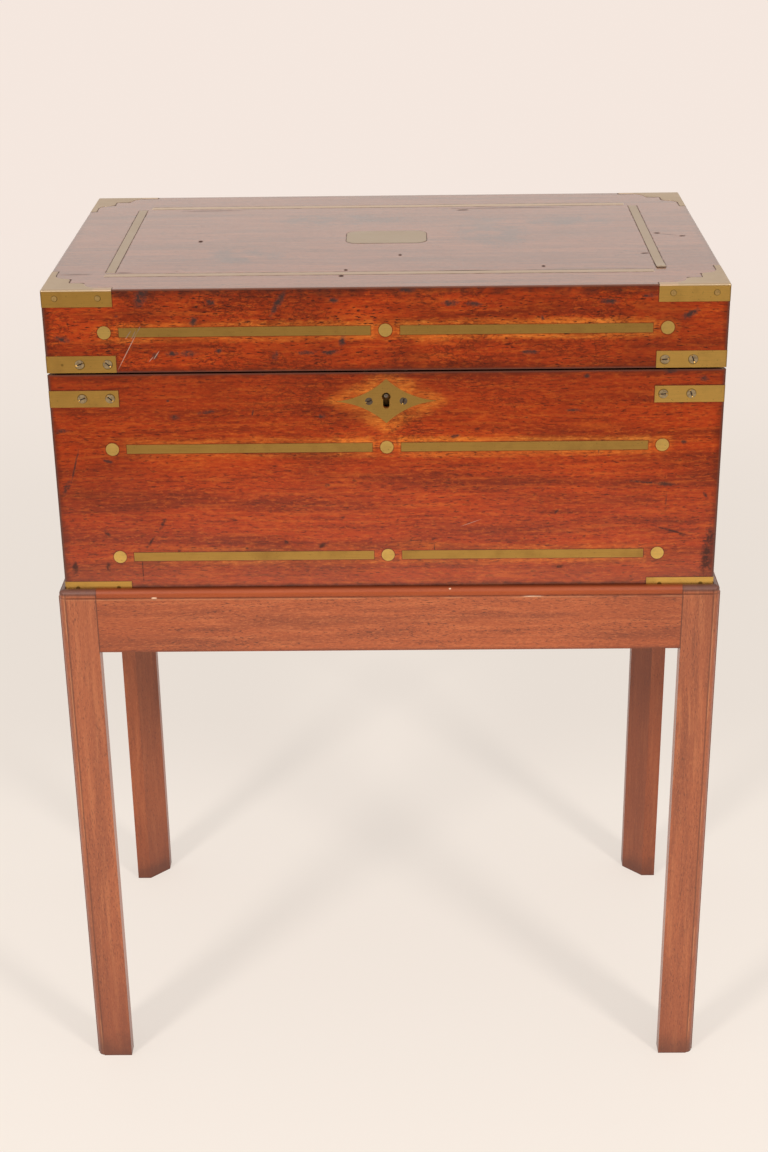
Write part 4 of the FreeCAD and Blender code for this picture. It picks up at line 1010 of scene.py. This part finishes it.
def leg_wood(name, darker, coat):
    finish = Finish(name)
    grain = (finish.z, finish.x, finish.y)
    relief = mahogany(finish, grain, LEG_TONES, cloud=0.45, fleck=0.4, pore=0.5, size=0.6)
    # Painted shade towards the feet, stronger at the left legs, and on the back legs painted shade all
    # over.
    gloom = finish.fade_out(finish.z, *FOOT_SHADE) * finish.ramp(finish.x, -20.0, 20.0, 0.6, 0.35)
    finish.paint(gloom.most(darker), STAND_DEEP)
    side = stand_side - abs(finish.x)
    face = stand_face - abs(finish.y)
    corner_groove_dirt_and_shade, corner_wear_and_highlight = quirk_lines(finish, side.most(face) - CORNER_BEAD)
    outer = finish.fade_out(side.least(face), *LEG_EDGE)
    groove, worn = quirk_lines(finish, finish.z - bead_foot)
    # Pale lines of wear and painted highlight beside the grooves; the grooves get dirt and painted shade
    # below.
    finish.paint((corner_wear_and_highlight * outer).most(worn * 0.6), STAND_WEAR_AND_HIGHLIGHT)
    finish.paint(finish.fade_in(finish.z, bead_foot + 1.2, bead_foot + 3.2, 0.75), END_GRAIN)
    beside_rail = finish.fade_in(finish.z, rail_foot - 3.0, rail_foot)
    to_joint = (abs(finish.x) - joint_x).least(abs(finish.y) - joint_y)
    seam = finish.fade_out(to_joint, *JOINT_LINE) * beside_rail
    scuff = finish.fade_out(finish.z + finish.blotches(14.0, detail=3.0) * 24.0, *FOOT_SCUFF)
    sole = finish.fade_out(finish.z, *FOOT_SOLE)
    # The lip's dirt and painted shadow of the box reach the tops of the legs too.
    lines = (seam, scuff, sole, corner_groove_dirt_and_shade * outer, groove, lip_dirt_and_shade(finish))
    finish.paint(strongest(lines), STAND_PORE)
    stand_polish(finish, relief, coat, matt=0.0)
    return finish


leg_wood("front_leg_mahogany", darker=0.0, coat=0.3).wear("leg_front_left", "leg_front_right")
# The back legs are shaded copies of the leg finish: their darkening is painted shade.
leg_wood("left_back_leg_shaded_mahogany", darker=0.25, coat=0.1).wear("leg_back_left")
leg_wood("right_back_leg_shaded_mahogany", darker=0.5, coat=0.1).wear("leg_back_right")

# %% [markdown]
# Inside, the wood never saw daylight or polish: it is plain, brown and nearly dull, and the wells have
# ink on their floors. All of it has its length across the box, so one finish with its grain along X
# will do.

# %% Wood inside the box
INNER_DEEP = (0.10, 0.030, 0.013, 1)
INNER_MIDDLE = (0.19, 0.060, 0.024, 1)
INNER_LIGHT = (0.28, 0.100, 0.042, 1)
INNER_PORE = (0.03, 0.011, 0.007, 1)
INNER_TONES = (INNER_DEEP, INNER_MIDDLE, INNER_LIGHT, INNER_PORE)


def inner_wood():
    finish = Finish("inner_mahogany")
    relief = mahogany(finish, along_lid(finish), INNER_TONES, fleck=0.35)
    finish.paint(finish.fade_in(finish.blotches(13.0, detail=4.0, shift=2.0), 0.62, 0.72, 0.6), INK)
    uneven = finish.blotches(26.0, detail=3.0, shift=6.0)
    finish.set(Base_Color=finish.colour, Roughness=uneven * 0.2 + 0.42, IOR=1.45)
    finish.bump(relief, 0.06)
    return finish


inner_wood().wear("base_bottom", "well_partition", "well_floor", "well_dividers", "pen_tray",
                  "base_flap", "base_flap_rail", "base_flap_ledges",
                  "lid_flap", "lid_flap_rail", "lid_flap_ledges")

# %% [markdown]
# Brass fittings are held by screws and pins, each in a dark ring of dirt, which is painted in the
# brass round it. A ring needs the distance to the middle of its screw, along the side and in height.
# The pins of the bottom corners are half hidden by the lip of the stand, so they are painted too.

# %% Rings round screws and pins
SCREW_HEAD = 3.4
SCREW_REACHES = (25.0, 46.0)
PIN_REACHES = (10.0, 42.0)
OLD_HOLE = 242.0
OLD_HOLE_RADIUS = 1.2
RING_LINE = (0.1, 0.7, 0.65)
LOW_PIN = (1.2, 2.2, 0.7)
pin_low, pin_high = span("bracket_pins")
pin_height = (pin_low.z + pin_high.z) / 2
pin_radius = (pin_high.z - pin_low.z) / 2


def head_distance(finish, height, place):
    """Distance to the middle of a head. Height is counted from it, and place along the side."""
    return finish.length(finish.vector(reach(finish) - place, height, 0.0))


def head_rings(finish, heights, places, radius):
    """A dark ring round each screw or pin."""
    rings = nearest(abs(head_distance(finish, height, place) - radius)
                    for height in heights for place in places)
    return finish.fade_out(rings, *RING_LINE)


def screw_rings(finish):
    """Rings round the screws of the straps, and an old pin hole in the left strap of the lid."""
    heights = (rise(finish) - lid_strap_rise, rise(finish) - base_strap_rise)
    hole = (-OLD_HOLE, shut_front + lid_strap_rise, OLD_HOLE_RADIUS, OLD_HOLE_RADIUS, 0)
    old_hole = finish.marks((hole,), -half_depth, upright=True, ragged=0.2)
    return head_rings(finish, heights, SCREW_REACHES, SCREW_HEAD).most(old_hole * 0.45)


def pin_rings(finish):
    """Rings round the pins at the top, and the dark pins of the bottom corners."""
    rings = head_rings(finish, (finish.z - pin_height,), PIN_REACHES, pin_radius)
    low_pins = nearest(head_distance(finish, finish.z - lip_top, place) for place in PIN_REACHES)
    return rings.most(finish.fade_out(low_pins, *LOW_PIN))


print(f"pins of {2 * pin_radius:.1f} mm at {pin_height:.1f} mm")

# %% [markdown]
# Brass: a metal shader, with the tone of worn brass. Fine scratches from polishing run along each
# piece, tarnish sits in soft patches and specks, and the sheen is broken. Straps and corners are
# brighter towards the right. The discs of the front are brighter than its strips. On the lid's top the
# brass is never polished, so it goes dull and grey-green there, a little less so on the strips that
# run across.

# %% Brass
BRASS = (0.60, 0.345, 0.085, 1)
DISC_BRASS = (0.93, 0.60, 0.165, 1)
TARNISH = (0.20, 0.095, 0.030, 1)
DULL_BRASS = (0.42, 0.33, 0.235, 1)
RUBBED_FRONT = (0.50, 0.37, 0.27, 1)
RUBBED_BACK = (0.58, 0.44, 0.32, 1)
LEFT_BRASS = (0.73, 0.415, 0.098, 1)
RIGHT_BRASS = (0.87, 0.515, 0.127, 1)
POLISH_LINES = (24.0, 0.3, 2.0, 0.0)
PAST_STRIP = (95.0, 98.0)
CROSS_STRIP_SIDE = (103.5, 105.5)
CROSS_STRIP_END = (214.0, 216.0)
CROSS_STRIP_PLACE = 110.0
TOP_DEPTH = (0.9, 1.5)


def dull_tone(finish):
    """Brass that was never polished, on strips across the lid rubbed brighter, mostly at the back."""
    to_back = finish.fade_in(finish.y, -CROSS_STRIP_PLACE, CROSS_STRIP_PLACE)
    rubbed = finish.mix(to_back, RUBBED_FRONT, RUBBED_BACK)
    across = finish.fade_in(abs(finish.y), *CROSS_STRIP_SIDE)
    across = across * finish.fade_out(abs(finish.x), *CROSS_STRIP_END)
    return finish.mix(across, DULL_BRASS, rubbed)


def brass(name, tone, grain_of, rings=None, discs=False, dull_top=False, shade_at_rim=False):
    finish = Finish(name)
    scratches = grain_noise(finish, grain_of(finish), POLISH_LINES)
    patina = finish.blotches(26.0, detail=4.0, shift=7.0)
    specks = finish.blotches(1.8, detail=3.0, shift=2.0)
    metal = 1.0 - finish.fade_in(specks, 0.66, 0.78, 0.4)
    finish.colour = tone
    if rings:
        finish.paint(finish.fade_in(finish.x, -half_width, half_width), RIGHT_BRASS)
    if discs:
        finish.paint(finish.fade_in(disc_side(finish), *PAST_STRIP), DISC_BRASS)
    finish.paint(finish.fade_in(patina, 0.45, 0.75, 0.35), TARNISH)
    finish.paint(finish.fade_in(scratches, 0.5, 0.75, 0.3), TARNISH)
    finish.paint(finish.fade_in(specks, 0.62, 0.74, 0.45), TARNISH)
    if discs:
        places = on_board(front_scratches, is_lid=True)
        scored = finish.marks(places, -half_depth, upright=True, ragged=0.1)
        finish.paint(scored * 0.9, SCRATCH)
    if rings:
        finish.paint(rings(finish), BOX_PORE)
    if dull_top:
        upper = finish.fade_out(box_top - finish.z, *TOP_DEPTH)
        finish.paint(upper * 0.9, dull_tone(finish))
        metal = metal - upper * 0.25
    # Painted shade on the lock near the shut line, which keeps glints out of the gap.
    if shade_at_rim:
        dirt = finish.fade_out(abs(rise(finish)), 1.5, 5.0, 0.9)
        finish.paint(dirt, BOX_PORE)
        metal = metal - dirt * 0.6
    finish.set(Base_Color=finish.colour, Metallic=metal)
    finish.set(Roughness=0.24 + patina * 0.14 + scratches * 0.12)
    finish.bump(scratches * 0.5 + specks * 0.5, 0.02)
    return finish


def round_the_box(finish):
    """Coordinates of a piece that bends round a corner of the box."""
    return finish.x + finish.y, finish.z, finish.z


strap_brass = brass("strap_brass", LEFT_BRASS, round_the_box, rings=screw_rings)
strap_brass.wear("base_corner_straps", "lid_corner_straps")
corner_brass = brass("corner_brass", LEFT_BRASS, round_the_box, rings=pin_rings, dull_top=True)
corner_brass.wear("top_corner_brackets", "bottom_corner_brackets")
brass("inlay_brass", BRASS, round_the_box, discs=True).wear("base_front_inlays", "lid_front_inlays")
brass("lock_plate_brass", BRASS, round_the_box).wear("escutcheon")
top_brass = brass("top_brass", DULL_BRASS, along_lid, dull_top=True)
top_brass.wear("name_plate")
brass("cap_brass", BRASS, round_the_box).wear("ink_bottle_caps")

# %% [markdown]
# Hinges and lock are rougher brass that was only filed. Screws, pins and the lock's works are iron and
# steel, browned with age. A screw's slot is full of dirt: its floor lies deeper than the brass, which
# the distance out of the box's faces tells.

# %% Hinges, lock and screws
FILED_BRASS = (0.36, 0.215, 0.070, 1)
STEEL = (0.30, 0.255, 0.20, 1)
DARK_STEEL = (0.17, 0.13, 0.095, 1)
SCREW = (0.52, 0.39, 0.22, 1)
PIN = (0.58, 0.37, 0.13, 1)
RUST = (0.12, 0.068, 0.038, 1)
SLOT_FLOOR = -0.40
SLOT_RIM = -0.05

brass("hinge_brass", FILED_BRASS, along_lid).wear(
    "base_hinge_leaves", "lid_hinge_leaves", "base_hinge_pins", "base_hinge_screws", "lid_hinge_screws",
    "base_flap_leaves", "base_flap_rail_leaves", "lid_flap_leaves", "lid_flap_rail_leaves",
    "lid_flap_hinge_pins")
# The lock is painted dark near the shut line, as shade in the gap.
brass("lock_brass", FILED_BRASS, along_lid, shade_at_rim=True).wear("lock_case", "lock_link_plate")


def steel(name, tone, stained, slots=False):
    finish = Finish(name)
    stains = finish.blotches(2.4, detail=4.0)
    scratches = finish.blotches(0.7, detail=2.0, shift=3.0)
    finish.colour = tone
    finish.paint(finish.fade_in(stains, 0.42, 0.68, stained), RUST)
    metal = 1.0 - finish.fade_in(stains, 0.55, 0.75, stained * 0.7)
    if slots:
        proud = (abs(finish.x) - half_width).most(abs(finish.y) - half_depth)
        dirt = finish.fade_out(proud, SLOT_FLOOR, SLOT_RIM)
        finish.paint(dirt, BOX_PORE)
        metal = metal * (1 - dirt)
    finish.set(Base_Color=finish.colour, Metallic=metal, Roughness=0.34 + scratches * 0.2)
    finish.bump(stains, 0.05)
    return finish


steel("screw_steel", SCREW, stained=0.6, slots=True).wear("base_strap_screws", "lid_strap_screws")
steel("small_screw_steel", DARK_STEEL, stained=0.8, slots=True).wear("escutcheon_screws")
steel("pin_steel", PIN, stained=0.4).wear("bracket_pins")
steel("lock_steel", STEEL, stained=0.8).wear("lock_bolt", "lock_spring", "lock_drill_pin")

# %% [markdown]
# The writing flaps are lined with thin green leather. A Voronoi pattern gives its pebble, and two
# plain gilt lines, a broad and a fine one, run round it near the edge. A line needs the distance to
# the leather's own border, which comes from the node's box. It is worn through in places, as pressed
# gold leaf is.

# %% Leather
GREEN = (0.013, 0.034, 0.019, 1)
GREEN_WORN = (0.045, 0.062, 0.034, 1)
GILT = (0.62, 0.40, 0.13, 1)
GILT_LINES = ((9.0, 0.9), (12.5, 0.35))


def leather(node):
    finish = Finish(node)
    low, high = span(node)
    middle, half = (low + high) / 2, (high - low) / 2
    border = (half.x - abs(finish.x - middle.x)).least(half.y - abs(finish.y - middle.y))
    lines = strongest(finish.fade_out(abs(border - place), breadth * 0.8, breadth * 1.2)
                      for place, breadth in GILT_LINES)
    gilt = lines * finish.fade_in(finish.blotches(7.0, detail=4.0, shift=3.0), 0.36, 0.5)
    sockets = {"Vector": finish.spot, "Scale": 0.8}
    pebble = finish.add("ShaderNodeTexVoronoi", {"feature": "SMOOTH_F1"}, sockets)
    worn = finish.fade_in(finish.blotches(55.0, detail=4.0, shift=1.0), 0.45, 0.75, 0.7)
    finish.colour = GREEN
    finish.paint(worn, GREEN_WORN)
    finish.paint(finish.fade_in(pebble, 0.3, 0.7, 0.4), GREEN_WORN)
    finish.paint(gilt, GILT)
    finish.set(Base_Color=finish.colour, Metallic=gilt * 0.9, Roughness=0.5 + worn * 0.2 - gilt * 0.2)
    finish.bump(pebble, 0.12)
    return finish


for flap_leather in ("base_flap_leather", "lid_flap_leather"):
    leather(flap_leather).wear(flap_leather)

# %% [markdown]
# The ink bottles are thick pressed glass. The shader's transmission makes it clear, a little waviness
# in its surface makes it old, and dried ink darkens it towards the bottom.

# %% Glass
CLEAR = (0.90, 0.96, 0.93, 1)
DRIED_INK = (0.05, 0.06, 0.10, 1)
INK_LEVEL = (10.0, 22.0, 0.7)
bottle_foot = span("ink_bottles")[0].z


def glass():
    finish = Finish("bottle_glass")
    level = finish.z + finish.blotches(15.0, detail=3.0) * 14.0 - bottle_foot
    inked = finish.fade_out(level, *INK_LEVEL)
    finish.set(Base_Color=finish.mix(inked, CLEAR, DRIED_INK), Roughness=inked * 0.25 + 0.03)
    finish.set(Transmission_Weight=1.0, IOR=1.5)
    finish.bump(finish.blotches(11.0, detail=2.0), 0.25)
    return finish


glass().wear("ink_bottles")

# %% [markdown]
# On the lid, one of the inlaid strips has sprung: its front end stands about a millimetre proud. The
# strip at the front also reaches further to the left than to the right. The frame's strips are
# straight and even, so a new piece takes their place. Each strip is a cube that is stretched and
# softened along its edges. The sprung one is cut across so that it can bend, and the bend raises the
# points near its loose end.

# %% Inlaid strips on the lid
STRIP_THICK = 1.2
STRIP_EDGE = 0.15
STRIP_CUTS = 24
SPRUNG_LENGTH = 34.0
SPRUNG_HEIGHT = 1.2
LOOSE_MARGIN = 0.7
strip_height = strip_high.z - STRIP_THICK / 2
loose_side = (side_strip - TOP_STRIP / 2 - LOOSE_MARGIN) * MM


def add_strip(shape, middle, size):
    """One strip with softened edges."""
    made = bmesh.ops.create_cube(shape, size=1.0)["verts"]
    bmesh.ops.scale(shape, vec=size * MM, verts=made)
    bmesh.ops.translate(shape, vec=middle * MM, verts=made)
    edges = list({edge for vert in made for edge in vert.link_edges})
    bmesh.ops.bevel(shape, geom=edges, offset=STRIP_EDGE * MM, affect="EDGES", segments=2, profile=0.5,
                    material=-1)


def cut_strip(shape, place):
    """Cut the sprung strip across."""
    faces = [face for face in shape.faces if face.calc_center_median().x > loose_side]
    edges = {edge for face in faces for edge in face.edges}
    verts = {vert for face in faces for vert in face.verts}
    bmesh.ops.bisect_plane(shape, geom=faces + list(edges) + list(verts), plane_co=(0, place * MM, 0),
                           plane_no=(0, 1, 0))


def bend_strip(shape):
    """Raise the sprung strip towards its loose end."""
    for vert in shape.verts:
        inside = (side_start + SPRUNG_LENGTH) * MM - vert.co.y
        if vert.co.x > loose_side and inside > 0:
            vert.co.z += SPRUNG_HEIGHT * MM * (inside / (SPRUNG_LENGTH * MM)) ** 2


def make_strips():
    shape = bmesh.new()
    for place, (left, right) in cross_strips:
        middle = Vector(((left + right) / 2, place, strip_height))
        add_strip(shape, middle, Vector((right - left, TOP_STRIP, STRIP_THICK)))
    for side in (-1, 1):
        middle = Vector((side * side_strip, (side_start + side_end) / 2, strip_height))
        add_strip(shape, middle, Vector((TOP_STRIP, side_end - side_start, STRIP_THICK)))
    for cut in range(1, STRIP_CUTS):
        cut_strip(shape, side_start + SPRUNG_LENGTH * cut / STRIP_CUTS)
    bend_strip(shape)
    bmesh.ops.recalc_face_normals(shape, faces=shape.faces)
    mesh = bpy.data.meshes.new("top_strips")
    shape.to_mesh(mesh)
    shape.free()
    mesh.materials.append(top_brass.material)
    strips = bpy.data.objects.new("top_strips", mesh)
    bpy.context.scene.collection.objects.link(strips)
    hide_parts("lid_top_strips")
    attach(strips, "lid")
    print("top strips:", len(mesh.polygons), "faces")


make_strips()
